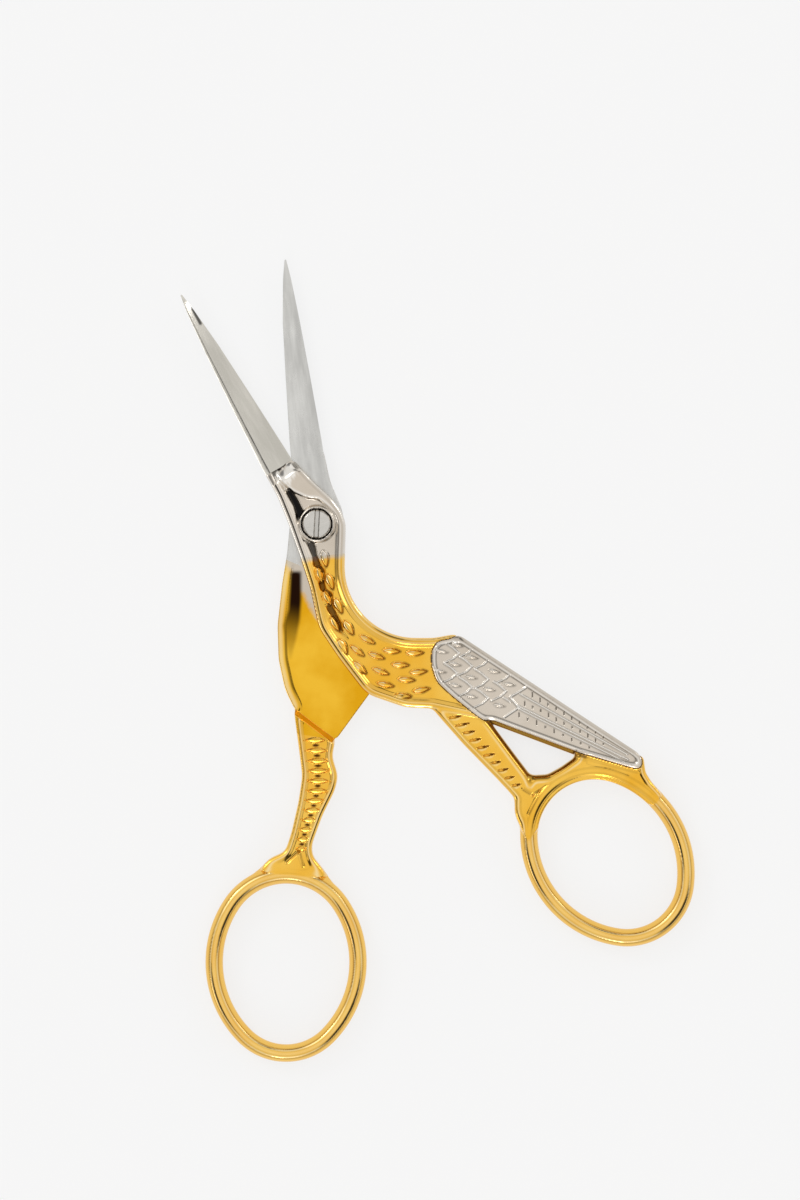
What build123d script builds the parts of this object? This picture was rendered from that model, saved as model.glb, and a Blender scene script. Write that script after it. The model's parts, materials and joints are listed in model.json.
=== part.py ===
from build123d import *
from math import acos, atan2, cos, degrees, hypot, radians, sin, tan
import os

# Embroidery scissors in the shape of a stork, lying flat, front up, open as they are usually shown.
# Both halves are drawn about the pivot in the closed pose, in the place of the front half.
# The rear half is drawn as a front layer too, then turned over in height and swung open.

# The stack, from the back of the rear half (0) to the front of the front half
stack_height = 3.6
shear_gap = 0.06
layer = (stack_height - shear_gap) / 2
middle = stack_height / 2

# Pose: angles from +X, counter-clockwise
closing_angle = 23.8
blade_bearing = 120.6
ring_centre_bearing = 10.8
bird_axis = blade_bearing - 180
closing_clearance = 0.3

# Ground blades, measured from the pivot along the blade
blade_root = 10.5
ground_length = 27.5
front_spine_offset = 2.72
front_edge_offset = 1.62
rear_spine_offset = 2.15
rear_edge_offset = 2.55
spine_thickness = 1.3
tip_thickness = 0.45
edge_land = 0.12
spine_strip = 0.75
strip_drop = 0.28
run_out = 1.5

# Head, neck and breast: the reach of the hip from the pivot carries the outline
hip_reach = 32.0
rim_width = 1.2
field_depth = 0.45
trough_depth = 0.8
field_start = 6.6
feather_length = 2.15
neck_feather_width = 1.2
breast_feather_width = 0.95
feather_drop = 0.05

# Wing, from its shoulder on the breast to its tip beside the finger ring
wing_width = 7.2
wing_plate = 1.2
wing_rim = 0.5
wing_field_depth = 0.3
wing_ridge = 0.24
scale_start = 1.4
scale_length = 3.0
scale_height = 4.6
scale_zone = 13.1
wing_feather_length = 1.5
wing_feather_width = 0.72
wing_feather_sink = 0.1
wing_wall = 0.6

# Legs
leg_width = 4.4
leg_rim = 0.75
leg_field_depth = 0.45
rib_pitch = 1.5
rib_width = 0.75
rib_drop = 0.1

# Finger rings: an egg of four arcs, its blunt end toward the pivot
finger_reach = 62.9
hole_length = 22.9
hole_width = 18.0
ring_bar = 2.5
ring_near_radius = 9.3
ring_widest_offset = -0.27
ring_waist = 1.2
ring_outer_ridge_share = 0.10
ring_inner_ridge_share = -0.18
ring_axis_tilt = 4.1
pad_drop = 0.25

# Pivot screw and its seat
head_diameter = 4.0
head_height = 0.95
head_sink = 0.15
seat_clearance = 0.2
shank_diameter = 2.6
thread_diameter = 2.2
running_clearance = 0.03
thread_clearance = 0.02
slot_width = 0.65
slot_depth = 0.5
slot_bearing = 87.0
boss_wall = 0.3
screw_end_sink = 0.1

# How far every cut runs past what it cuts
overrun = 5.0
cut_reach = 90.0

# Boxes and cylinders that stand on their foot
STANDING = (Align.CENTER, Align.CENTER, Align.MIN)

# Blade: shares of the edge's and the spine's offset where the run-out ends
RUN_OUT_SHARES = (0.97, 0.96)
# then along it: shares of the ground length, the edge's and the spine's offset, and the thinning
BLADE_SHARES = [
    (0.40, 0.76, 0.70, 0.30),
    (0.68, 0.56, 0.46, 0.60),
    (0.90, 0.26, 0.22, 0.85),
    (1.0, 0.05, 0.05, 1.0),
]

# Outlines. Head, neck and breast: x, y and corner radius in shares of hip_reach
HEAD_RIGHT_SHARES = [
    (-0.021, 0.196, 0.267),
    (0.072, 0.109, 0.062),
    (0.110, 0.058, 0.053),
    (0.130, 0.0, 0.062),
]
NECK_RIGHT_SHARES = [(0.126, -0.125, 0.267), (0.117, -0.507, 0.316), (0.522, -0.507, 0.134)]
HEAD_LEFT_SHARES = [(-0.128, 0.004, 0.267), (-0.175, 0.120, 0.267)]
FRONT_LEFT_SHARES = [
    (0.393, -0.817, 0.178),
    (0.219, -0.757, 0.134),
    (0.094, -0.592, 0.178),
    (0.008, -0.463, 0.178),
    (-0.030, -0.285, 0.267),
    (-0.070, -0.160, 0.267),
]
REAR_LEFT_SHARES = [
    (0.169, -0.734, 0.267),
    (0.088, -0.623, 0.267),
    (0.021, -0.483, 0.267),
    (-0.034, -0.307, 0.267),
    (-0.069, -0.172, 0.267),
]
SHOULDER_SHARES = (0.624, -0.488)
HIP_RIGHT_SHARES = (0.771, -0.877)
HIP_LEFT_SHARES = (0.513, -0.822)
DIVIDE_TOP_SHARES = (0.542, -0.499)
STEP_RIGHT_SHARES = (0.466, -0.846)
STEP_LEFT_SHARES = (0.237, -0.791)
FRONT_PLATING_SHARES = [(-0.088, -0.154), (0.157, -0.127)]
REAR_PLATING_SHARES = [(-0.090, -0.191), (0.262, -0.449)]

# Sunk places beside the boss and down the neck, x, y and corner radius in shares of hip_reach
PIT_SHARES = [
    (-0.137, 0.147, 0.01),
    (-0.070, 0.102, 0.01),
    (-0.057, 0.058, 0.01),
    (-0.077, 0.033, 0.01),
    (-0.097, 0.080, 0.02),
]
TROUGH_SHARES = [
    (-0.008, -0.085, 0.01),
    (0.001, -0.147, 0.05),
    (0.032, -0.205, 0.05),
    (0.037, -0.272, 0.05),
    (0.068, -0.325, 0.05),
    (0.108, -0.423, 0.05),
    (0.130, -0.517, 0.0),
    (0.054, -0.383, 0.05),
    (0.028, -0.294, 0.05),
    (-0.008, -0.196, 0.05),
    (-0.021, -0.138, 0.02),
    (-0.053, -0.058, 0.01),
]

# Feathers on neck and breast: x and y in shares of hip_reach, then the way the feather points
NECK_FEATHER_SHARES = [
    (0.036, -0.156, -80),
    (0.014, -0.227, -75),
    (0.059, -0.258, -68),
    (0.048, -0.330, -65),
    (0.096, -0.365, -62),
    (0.082, -0.445, -62),
    (0.142, -0.463, -55),
    (0.116, -0.546, -60),
]
BREAST_FEATHER_SHARES = [
    (0.225, -0.515, -28),
    (0.181, -0.565, -38),
    (0.266, -0.587, -20),
    (0.334, -0.565, -5),
    (0.437, -0.574, 0),
    (0.194, -0.640, -45),
    (0.285, -0.656, -20),
    (0.372, -0.627, -3),
    (0.453, -0.659, 5),
    (0.306, -0.715, -12),
    (0.400, -0.693, -5),
    (0.466, -0.739, 10),
    (0.384, -0.765, -3),
]

# Wing outline: share of the wing's length, share of its width, corner radius as a share of its width
WING_SHARES = [
    (0.033, 0.605, 0.079),
    (0.970, 0.174, 0.059),
    (1.001, 0.080, 0.059),
    (1.012, -0.083, 0.040),
    (0.977, -0.144, 0.119),
    (0.742, -0.359, 0.396),
    (0.337, -0.590, 0.040),
    (0.314, -0.680, 0.079),
    (0.255, -0.641, 0.158),
    (0.140, -0.536, 0.277),
    (0.054, -0.429, 0.277),
    (-0.001, -0.182, 0.237),
    (-0.031, 0.081, 0.158),
    (-0.025, 0.299, 0.099),
    (0.025, 0.463, 0.0),
]
# The wing's lower edge along the window
WALL_SHARES = [(0.290, -0.620), (0.337, -0.590), (0.742, -0.359), (0.800, -0.320)]
WING_SHOULDER_SHARES = (0.531, -0.592)
WING_TIP_SHARES = (-0.596, -0.904)
# Long feathers: start and end of each ridge, along and across the wing
FLIGHT_SHARES = [
    ((0.40, 0.19), (0.95, 0.075)),
    ((0.36, -0.03), (0.96, -0.005)),
    ((0.38, -0.27), (0.93, -0.08)),
]

# Legs: share of the leg's length, share of its width, corner radius as a share of its width
FRONT_LEG_SHARES = [
    (-0.271, -0.577, 0.0),
    (-0.211, -0.590, 0.0),
    (0.212, -0.548, 0.3),
    (0.610, -0.434, 0.3),
    (0.794, -0.393, 0.13),
    (0.899, -0.391, 0.097),
    (0.982, -0.639, 0.13),
    (1.071, -0.758, 0.0),
    (1.150, 0.098, 0.0),
    (0.805, 0.496, 0.032),
    (0.642, 0.521, 0.3),
    (0.207, 0.601, 0.0),
    (0.099, 0.586, 0.0),
]
REAR_LEG_SHARES = [
    (-0.128, -0.653, 0.0),
    (-0.082, -0.757, 0.0),
    (0.110, -0.490, 0.972),
    (0.356, -0.157, 0.389),
    (0.532, -0.156, 0.972),
    (0.737, -0.231, 0.389),
    (0.876, -0.339, 0.097),
    (0.939, -0.833, 0.097),
    (1.044, -1.147, 0.0),
    (1.014, 1.256, 0.0),
    (0.949, 0.945, 0.097),
    (0.881, 0.565, 0.13),
    (0.809, 0.479, 0.194),
    (0.600, 0.682, 0.972),
    (0.415, 0.968, 0.389),
    (0.319, 0.995, 0.194),
    (0.194, 0.703, 0.259),
    (0.086, 0.744, 0.0),
    (0.023, 0.542, 0.0),
]
# Where each leg's line starts (body shares) and ends (shares of half the ring's length)
FRONT_HIP_SHARES = (0.642, -0.851)
FRONT_FOOT_SHARES = (-0.998, 0.313)
REAR_HIP_SHARES = (0.352, -0.820)
REAR_FOOT_SHARES = (-1.043, 0.078)

# Foot pad that joins the front leg, the ring and the wing tip, in shares of half the ring's length
PAD_SHARES = [
    (-0.65, 0.65, 0.0),
    (-0.895, 0.585, 0.0),
    (-1.008, 0.543, 0.04),
    (-1.119, 0.458, 0.03),
    (-1.244, 0.154, 0.03),
    (-1.137, -0.004, 0.05),
    (-1.113, -0.168, 0.08),
    (-1.106, -0.361, 0.0),
    (-1.19, -0.42, 0.0),
    (-0.98, -0.75, 0.0),
    (-0.64, -0.98, 0.0),
    (-0.42, -0.845, 0.0),
    (-0.27, -0.64, 0.0),
    (-0.64, -0.32, 0.0),
    (-0.86, 0.05, 0.0),
]


def turned(point, angle):
    """A flat point turned about the pivot."""
    turn = radians(angle)
    x, y = point
    return (x * cos(turn) - y * sin(turn), x * sin(turn) + y * cos(turn))


def on_body(shares):
    """Shares of the hip reach, as a point; a corner radius comes along."""
    return tuple(share * hip_reach for share in shares)


class Strut:
    """A flat frame from one point to another, for outlines written along and across it."""

    def __init__(self, start, end, width):
        self.start = start
        self.width = width
        self.length = hypot(end[0] - start[0], end[1] - start[1])
        self.bearing = degrees(atan2(end[1] - start[1], end[0] - start[0]))

    def point(self, along, across):
        step = turned((along * self.length, across * self.width), self.bearing)
        return (self.start[0] + step[0], self.start[1] + step[1])

    def corners(self, shares):
        return [(*self.point(along, across), radius * self.width) for along, across, radius in shares]


def rounded_face(corners):
    """A flat face through (x, y, radius) corners, each rounded by an arc tangent to both sides."""
    side_share = 0.98
    places = [Vector(x, y) for x, y, _ in corners]
    count = len(places)
    sides = [places[(index + 1) % count] - places[index] for index in range(count)]
    half_turns = [radians(sides[index - 1].get_angle(sides[index])) / 2 for index in range(count)]
    trims = [corner[2] * tan(half_turn) for corner, half_turn in zip(corners, half_turns)]
    # where two arcs want more than the side between them, both give way alike
    rooms = []
    for index, side in enumerate(sides):
        wanted = trims[index] + trims[(index + 1) % count]
        rooms.append(min(1, side_share * side.length / wanted) if wanted else 1)
    edges = []
    ends = []
    for index, place in enumerate(places):
        trim = trims[index] * min(rooms[index - 1], rooms[index])
        if trim == 0:
            ends.append((place, place))
            continue
        radius = trim / tan(half_turns[index])
        back = sides[index - 1].normalized()
        ahead = sides[index].normalized()
        start = place - back * trim
        finish = place + ahead * trim
        crest = place + (ahead - back).normalized() * (radius / cos(half_turns[index]) - radius)
        edges.append(ThreePointArc(start, crest, finish))
        ends.append((start, finish))
    for index, (start, _) in enumerate(ends):
        edges.append(Line(ends[index - 1][1], start))
    return make_face(edges)


def slab(face, floor, top):
    """A flat face made solid between two heights."""
    return extrude(Pos(0, 0, floor) * face, amount=top - floor, dir=(0, 0, 1))


def through(face):
    """A cutter of the face's outline that runs past both sides of the stack."""
    return slab(face, -overrun, stack_height + overrun)


def beyond(start, end, gap=0):
    """A cutter for everything on the left of the line from start to end, past a gap."""
    heading = degrees(atan2(end[1] - start[1], end[0] - start[0]))
    height = stack_height + 2 * overrun
    block = Box(cut_reach, cut_reach, height, align=(Align.CENTER, Align.MIN, Align.CENTER))
    return Pos(start[0], start[1], middle) * Rot(0, 0, heading) * Pos(0, gap, 0) * block


def turned_over(solid):
    """The front layer's solid as the rear half's, in the open pose."""
    return mirror(solid, about=Plane.XY.offset(middle)).rotate(Axis.Z, -closing_angle)


def teardrop(length, width):
    """A drop on its side that tapers to a point along +X, centred on its length, over a foot."""
    radius = width / 2
    tail = length - radius
    lean = acos(radius / tail)
    rim = (radius * cos(lean), radius * sin(lean))
    arc = ThreePointArc((-radius, 0), (-radius * cos(lean / 2), radius * sin(lean / 2)), rim)
    profile = make_face([arc, Line(rim, (tail, 0)), Line((tail, 0), (-radius, 0))])
    foot = extrude(profile + mirror(profile, about=Plane.XZ), amount=radius, dir=(0, 0, -1))
    return Pos(radius - length / 2, 0, 0) * (revolve(profile, axis=Axis.X) + foot)


def blade_root_point(offset):
    """The blade's root, at a side offset to the left of the blade's line."""
    return turned((blade_root, offset), blade_bearing)


def blade(spine_offset, edge_offset, spine_side):
    """A ground blade on the shear plane. Spine side is 1 for left of the blade's line, -1 for right."""
    floor = stack_height - layer
    # share of the ground length, cutting edge share, spine share, height of the ridge
    stations = [
        (0, 1, 1, layer - strip_drop),
        (run_out / ground_length, *RUN_OUT_SHARES, spine_thickness),
    ]
    for along_share, edge_share, spine_share, thinned_share in BLADE_SHARES:
        height = spine_thickness - thinned_share * (spine_thickness - tip_thickness)
        stations.append((along_share, edge_share, spine_share, height))
    sections = []
    for along_share, edge_share, spine_share, height in stations:
        spine = spine_side * spine_share * spine_offset
        ridge = spine_side * spine_share * (spine_offset - spine_strip)
        edge = -spine_side * edge_share * edge_offset
        distance = blade_root + along_share * ground_length
        centre = turned((distance, 0), blade_bearing)
        heading = turned((1, 0), blade_bearing)
        across = turned((0, 1), blade_bearing)
        plane = Plane(origin=(*centre, floor), x_dir=(*across, 0), z_dir=(*heading, 0))
        drop = strip_drop * spine_share
        outline = [(edge, 0), (edge, edge_land), (ridge, height), (spine, height - drop), (spine, 0)]
        sections.append(plane * make_face(Polyline(*outline, close=True)))
    return loft(sections, ruled=True)


def front_bird_face():
    """Head, neck and breast of the front half, down to the hip and the wing's shoulder."""
    right = HEAD_RIGHT_SHARES + NECK_RIGHT_SHARES
    corners = [(*blade_root_point(-front_edge_offset), 0)]
    corners += [on_body(shares) for shares in right]
    corners += [(*on_body(shares), 0) for shares in (SHOULDER_SHARES, HIP_RIGHT_SHARES, HIP_LEFT_SHARES)]
    corners += [on_body(shares) for shares in FRONT_LEFT_SHARES + HEAD_LEFT_SHARES]
    corners += [(*blade_root_point(front_spine_offset), 0)]
    return rounded_face(corners)


def rear_bird_face():
    """Head, neck and belly plate of the rear half, down to its step and its sloping lower edge."""
    right = HEAD_RIGHT_SHARES + NECK_RIGHT_SHARES
    corners = [(*blade_root_point(-rear_spine_offset), 0)]
    corners += [on_body(shares) for shares in right]
    corners += [(*on_body(shares), 0) for shares in (DIVIDE_TOP_SHARES, STEP_RIGHT_SHARES, STEP_LEFT_SHARES)]
    corners += [on_body(shares) for shares in REAR_LEFT_SHARES + HEAD_LEFT_SHARES]
    corners += [(*blade_root_point(rear_edge_offset), 0)]
    return rounded_face(corners)


def boss():
    """The raised round the screw's head sits in."""
    return Circle(head_diameter / 2 + seat_clearance + boss_wall)


def carve_field(plate, outline):
    """Sink the field inside the rim, leave the boss standing, then cut the pit and the trough deeper."""
    field = offset(outline, -rim_width, kind=Kind.INTERSECTION)
    start = turned((field_start, 0), blade_bearing)
    aside = turned((field_start, -overrun), blade_bearing)
    floor = stack_height - field_depth
    cutter = slab(field, floor, stack_height + overrun) - beyond(start, aside) - through(boss())
    plate = plate - cutter
    for shares in (PIT_SHARES, TROUGH_SHARES):
        pocket = rounded_face([on_body(corner) for corner in shares])
        plate = plate - (slab(pocket, stack_height - trough_depth, stack_height + overrun) - through(boss()))
    return plate


def add_feathers(plate):
    """Raise teardrop feathers from the field, broad ones on the neck and slim ones on the breast."""
    feathers = []
    rows = ((NECK_FEATHER_SHARES, neck_feather_width), (BREAST_FEATHER_SHARES, breast_feather_width))
    for table, width in rows:
        drop = teardrop(feather_length, width)
        height = stack_height - feather_drop - width / 2
        for x_share, y_share, bearing in table:
            place = Pos(x_share * hip_reach, y_share * hip_reach, height)
            feathers.append(place * Rot(0, 0, bearing) * drop)
    return plate + feathers


def front_line_cutter():
    """Everything on the head's side of the front half's plating line."""
    start, end = [on_body(shares) for shares in FRONT_PLATING_SHARES]
    return beyond(start, end)


def rear_line_cutter():
    """Everything on the head's side of the rear half's plating line."""
    start, end = [on_body(shares) for shares in REAR_PLATING_SHARES]
    return beyond(start, end) & beyond((start[0], end[1]), end)


class Ring:
    """A finger ring as an egg of four arcs. Its side is 1 where the other half lies to its left."""

    def __init__(self, side):
        bearing = bird_axis + side * ring_centre_bearing
        self.centre = turned((finger_reach, 0), bearing)
        self.axis = bearing - side * ring_axis_tilt
        self.side = side
        self.half_length = (hole_length + ring_bar) / 2

    def point(self, along, across):
        step = turned((along, -self.side * across), self.axis)
        return (self.centre[0] + step[0], self.centre[1] + step[1])

    def at_shares(self, along, across):
        return self.point(along * self.half_length, across * self.half_length)

    def corners(self, shares):
        size = self.half_length
        return [(*self.at_shares(along, across), radius * size) for along, across, radius in shares]

    def arcs(self):
        """The middle line's arcs: centre along and across, radius, first bearing and sweep."""
        half_width = (hole_width + ring_bar) / 2
        near = self.half_length - ring_near_radius
        reach = near + ring_widest_offset
        squares = reach * reach + half_width * half_width - ring_near_radius * ring_near_radius
        side_radius = squares / (2 * (half_width - ring_near_radius))
        inset = side_radius - half_width
        rest = self.half_length - ring_widest_offset
        far_radius = (side_radius * side_radius - inset * inset - rest * rest) / (2 * (side_radius - rest))
        far = self.half_length - far_radius
        near_lean = degrees(atan2(reach, inset))
        far_lean = degrees(atan2(far - ring_widest_offset, inset))
        return [
            (ring_widest_offset, -inset, side_radius, 90 - far_lean, far_lean + near_lean),
            (-near, 0, ring_near_radius, 90 + near_lean, 180 - 2 * near_lean),
            (ring_widest_offset, inset, side_radius, 270 - near_lean, near_lean + far_lean),
            (far, 0, far_radius, 270 + far_lean, 180 - 2 * far_lean),
        ]

    def disc(self, growth):
        """The flat oval inside the middle line grown by a distance."""
        edges = []
        for along, across, radius, first, sweep in self.arcs():
            edges.append(CenterArc((along, across), radius + growth, first, sweep))
        return Pos(*self.centre, 0) * Rot(0, 0, self.axis) * make_face(edges)

    def bar(self):
        """The ring itself, each arc turned from one section with a flat land on its crest."""
        outer = ring_bar / 2
        outer_ridge = ring_outer_ridge_share * ring_bar
        inner_ridge = ring_inner_ridge_share * ring_bar
        low = middle - ring_waist / 2
        high = middle + ring_waist / 2
        outline = [
            (outer, low),
            (outer, high),
            (outer_ridge, stack_height),
            (inner_ridge, stack_height),
            (-outer, high),
            (-outer, low),
            (inner_ridge, 0),
            (outer_ridge, 0),
        ]
        pieces = []
        for along, across, radius, first, sweep in self.arcs():
            away = turned((1, 0), first)
            start = (along + away[0] * radius, across + away[1] * radius)
            plane = Plane(origin=(*start, 0), x_dir=(*away, 0), z_dir=(away[1], -away[0], 0))
            section = plane * make_face(Polyline(*outline, close=True))
            pieces.append(revolve(section, axis=Axis((along, across, 0), (0, 0, 1)), revolution_arc=sweep))
        whole = pieces[0] + pieces[1:]
        return Pos(*self.centre, 0) * Rot(0, 0, self.axis) * whole


def leg(strut, shares, bird, ring_solid, ring):
    """A ribbed leg at the full height of the stack, sunk between its borders on both sides."""
    outline = rounded_face(strut.corners(shares))
    solid = slab(outline, 0, stack_height)
    field = offset(outline, -leg_rim)
    sunk = slab(field, stack_height - leg_field_depth, stack_height + overrun)
    solid = solid - sunk - mirror(sunk, about=Plane.XY.offset(middle))
    count = int(strut.length / rib_pitch)
    bars = []
    for index in range(count):
        place = strut.point((index + 0.5) / count, 0)
        bar = Box(rib_width, 2 * leg_width, stack_height)
        bars.append(Pos(*place, middle) * Rot(0, 0, strut.bearing) * bar)
    ribs = bars[0] + bars[1:]
    solid = solid + (ribs & slab(field, rib_drop, stack_height - rib_drop))
    return solid - through(bird) - ring_solid - through(ring.disc(0))


def wing_strut(ring):
    """The wing's frame, from its shoulder on the breast to its tip by the ring."""
    return Strut(on_body(WING_SHOULDER_SHARES), ring.at_shares(*WING_TIP_SHARES), wing_width)


def wing_wall_face(strut):
    """The wall under the wing's lower edge, where it shows inside the window."""
    wall_share = wing_wall / wing_width
    corners = [(*strut.point(along, across - wall_share), 0) for along, across in WALL_SHARES]
    corners += [(*strut.point(along, across + wall_share), 0) for along, across in reversed(WALL_SHARES)]
    return rounded_face(corners)


def ridge(start, end, floor, top):
    """A thin straight ridge between two points."""
    length = hypot(end[0] - start[0], end[1] - start[1])
    heading = degrees(atan2(end[1] - start[1], end[0] - start[0]))
    bar = Box(length, wing_ridge, top - floor, align=(Align.MIN, Align.CENTER, Align.MIN))
    return Pos(start[0], start[1], floor) * Rot(0, 0, heading) * bar


def scale_ridges(strut, floor):
    """Two crossing rows of ridges that outline diamond scales over the wing's shoulder."""
    count = int((scale_zone + wing_width) / scale_length) + 1
    lean = scale_length / scale_height * wing_width
    bars = []
    for index in range(-1, count):
        along = scale_start + index * scale_length
        for side in (1, -1):
            start = strut.point((along - lean) / strut.length, -side)
            end = strut.point((along + lean) / strut.length, side)
            bars.append(ridge(start, end, floor, stack_height))
    return bars[0] + bars[1:]


def wing_feathers(strut, floor):
    """One small drop in each scale, in three rows."""
    drop = teardrop(wing_feather_length, wing_feather_width)
    count = int(scale_zone / scale_length)
    drops = []
    for row in (-1, 0, 1):
        for index in range(count):
            along = scale_start + (index + (1 - abs(row)) / 2) * scale_length
            place = strut.point(along / strut.length, row * scale_height / (2 * wing_width))
            drops.append(Pos(*place, floor - wing_feather_sink) * Rot(0, 0, strut.bearing) * drop)
    return drops


def wing_plate_solid(strut, ring_solid):
    """The bright wing plate: a rim round a sunk field of scales, drops and long feathers."""
    outline = rounded_face(strut.corners(WING_SHARES))
    floor = stack_height - wing_field_depth
    inside = offset(outline, -wing_rim, kind=Kind.INTERSECTION)
    field = slab(inside, floor, stack_height)
    solid = slab(outline, stack_height - wing_plate, stack_height) - field
    zone_edge = strut.point(scale_zone / strut.length, 1)
    zone_foot = strut.point(scale_zone / strut.length, -1)
    tail_zone = beyond(zone_foot, zone_edge)
    scales = (scale_ridges(strut, floor) & field) & tail_zone
    lines = [(strut.point(*start), strut.point(*end)) for start, end in FLIGHT_SHARES]
    lines.append((zone_foot, zone_edge))
    long_ridges = [ridge(start, end, floor, stack_height) for start, end in lines]
    quills = (long_ridges[0] + long_ridges[1:]) & field
    drops = wing_feathers(strut, floor)
    drops = (drops[0] + drops[1:]) & slab(inside, floor - wing_field_depth, stack_height)
    return solid + scales + quills + drops - ring_solid


def other_side(solid):
    """The same form on the back of the stack."""
    return mirror(solid, about=Plane.XY.offset(middle))


def screw():
    """Slotted pivot screw: head, running shank and threaded end."""
    head_top = stack_height - head_sink
    head_foot = head_top - head_height
    head = Pos(0, 0, head_foot) * Cylinder(head_diameter / 2, head_height, align=STANDING)
    shank_length = head_foot - layer
    shank = Pos(0, 0, layer) * Cylinder(shank_diameter / 2, shank_length, align=STANDING)
    thread_length = layer - screw_end_sink
    thread = Cylinder(thread_diameter / 2, thread_length, align=STANDING)
    thread = Pos(0, 0, screw_end_sink) * thread
    slot = Box(2 * head_diameter, slot_width, slot_depth + overrun, align=STANDING)
    slot = Pos(0, 0, head_top - slot_depth) * Rot(0, 0, slot_bearing) * slot
    return head + shank + thread - slot


def front_half():
    """Every node of the front half, in its own place."""
    ring = Ring(1)
    bird = front_bird_face()
    wing_line = wing_strut(ring)
    ring_bar_solid = ring.bar()
    wing = wing_plate_solid(wing_line, ring_bar_solid)
    wing_outline = rounded_face(wing_line.corners(WING_SHARES))
    wing_root = slab(wing_outline, 0, stack_height) + slab(wing_wall_face(wing_line), 0, stack_height)

    full_zone = beyond(on_body(DIVIDE_TOP_SHARES), on_body(STEP_RIGHT_SHARES), closing_clearance)
    plate = carve_field(slab(bird, stack_height - layer, stack_height), bird)
    plate = add_feathers(plate) - wing_root
    bore = Cylinder(shank_diameter / 2 + running_clearance, 2 * overrun)
    seat_floor = stack_height - head_sink - head_height - running_clearance
    seat_radius = head_diameter / 2 + seat_clearance
    seat = Pos(0, 0, seat_floor) * Cylinder(seat_radius, overrun, align=STANDING)
    plate = plate - bore - seat
    head = plate & front_line_cutter()
    body = plate - front_line_cutter()
    lower = (slab(bird, 0, stack_height - layer) & full_zone) - wing_root
    wing_back = other_side(wing) & full_zone
    plate_room = slab(wing_outline, stack_height - wing_plate, stack_height)
    core = wing_root - plate_room
    core = core & (full_zone + slab(wing_outline, stack_height - layer, stack_height))
    core = core - (other_side(plate_room) & full_zone)
    pad_face = rounded_face(ring.corners(PAD_SHARES))
    pad = slab(pad_face, pad_drop, stack_height - pad_drop)
    pad = pad - wing_root - through(ring.disc(-ring_bar / 2))
    ring_solid = ring_bar_solid + pad
    body = body + lower + core - ring_solid - through(ring.disc(0))
    leg_line = Strut(on_body(FRONT_HIP_SHARES), ring.at_shares(*FRONT_FOOT_SHARES), leg_width)
    leg_solid = leg(leg_line, FRONT_LEG_SHARES, bird, ring_solid, ring) - wing_root - through(pad_face)
    return {
        "front_blade": blade(front_spine_offset, front_edge_offset, 1),
        "stork_head": head,
        "stork_body": body,
        "wing_plate_front": wing,
        "wing_plate_back": wing_back,
        "front_leg": leg_solid,
        "front_finger_ring": ring_solid,
    }


def rear_half():
    """Every node of the rear half, turned over and swung open."""
    ring = Ring(-1)
    bird = rear_bird_face()
    plate = carve_field(slab(bird, stack_height - layer, stack_height), bird)
    plate = plate - Cylinder(thread_diameter / 2 + thread_clearance, 2 * overrun)
    plate = add_feathers(plate) & through(bird)
    head = plate & rear_line_cutter()
    body = plate - rear_line_cutter()
    leg_line = Strut(on_body(REAR_HIP_SHARES), ring.at_shares(*REAR_FOOT_SHARES), leg_width)
    ring_solid = ring.bar()
    leg_solid = leg(leg_line, REAR_LEG_SHARES, bird, ring_solid, ring)
    nodes = {
        "rear_blade": blade(rear_spine_offset, rear_edge_offset, -1) + head,
        "rear_body": body,
        "rear_leg": leg_solid,
        "rear_finger_ring": ring_solid,
    }
    return {name: turned_over(solid) for name, solid in nodes.items()}


def main():
    os.makedirs("parts", exist_ok=True)
    nodes = front_half() | rear_half() | {"pivot_screw": screw()}
    boxes = [solid.bounding_box() for solid in nodes.values()]
    left = min(box.min.X for box in boxes)
    right = max(box.max.X for box in boxes)
    bottom = min(box.min.Y for box in boxes)
    top = max(box.max.Y for box in boxes)
    home = Pos(-(left + right) / 2, -(bottom + top) / 2, 0)
    for name, solid in nodes.items():
        export_step(home * solid, f"parts/{name}.step")
    print("pivot", tuple(home.position))


main()
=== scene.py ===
import json
from functools import reduce
from itertools import product
from math import atan2, cos, degrees, hypot, pi, radians, sin, tan

import bmesh
import bpy
import numpy as np
from mathutils import Matrix, Vector


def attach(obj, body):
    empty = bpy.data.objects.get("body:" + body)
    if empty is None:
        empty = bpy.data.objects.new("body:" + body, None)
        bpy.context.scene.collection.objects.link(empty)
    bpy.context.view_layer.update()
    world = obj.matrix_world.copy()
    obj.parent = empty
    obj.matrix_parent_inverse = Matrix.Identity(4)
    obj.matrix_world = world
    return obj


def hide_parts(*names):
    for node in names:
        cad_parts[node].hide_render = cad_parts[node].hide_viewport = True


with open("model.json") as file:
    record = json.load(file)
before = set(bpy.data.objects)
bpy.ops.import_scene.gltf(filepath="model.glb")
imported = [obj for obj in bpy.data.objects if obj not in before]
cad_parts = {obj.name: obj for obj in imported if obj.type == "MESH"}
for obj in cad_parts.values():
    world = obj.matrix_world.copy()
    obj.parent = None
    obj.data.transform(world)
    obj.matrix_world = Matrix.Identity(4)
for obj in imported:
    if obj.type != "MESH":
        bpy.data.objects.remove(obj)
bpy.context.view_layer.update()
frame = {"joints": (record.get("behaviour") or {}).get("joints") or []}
MM = 0.001
PIVOT = [value / MM for value in frame["joints"][0]["pos_m"]]

# Sizes in millimetres, drawn about the pivot in the closed pose, as the solids are
stack_height, shear_gap = 3.6, 0.06
layer = (stack_height - shear_gap) / 2
shear = stack_height - layer
closing_angle, blade_bearing, ring_centre_bearing = 23.8, 120.6, 10.8
bird_axis = blade_bearing - 180
blade_root, blade_start, tip_start, blade_end = 10.5, 9.6, 37.86, 38.0
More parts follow.
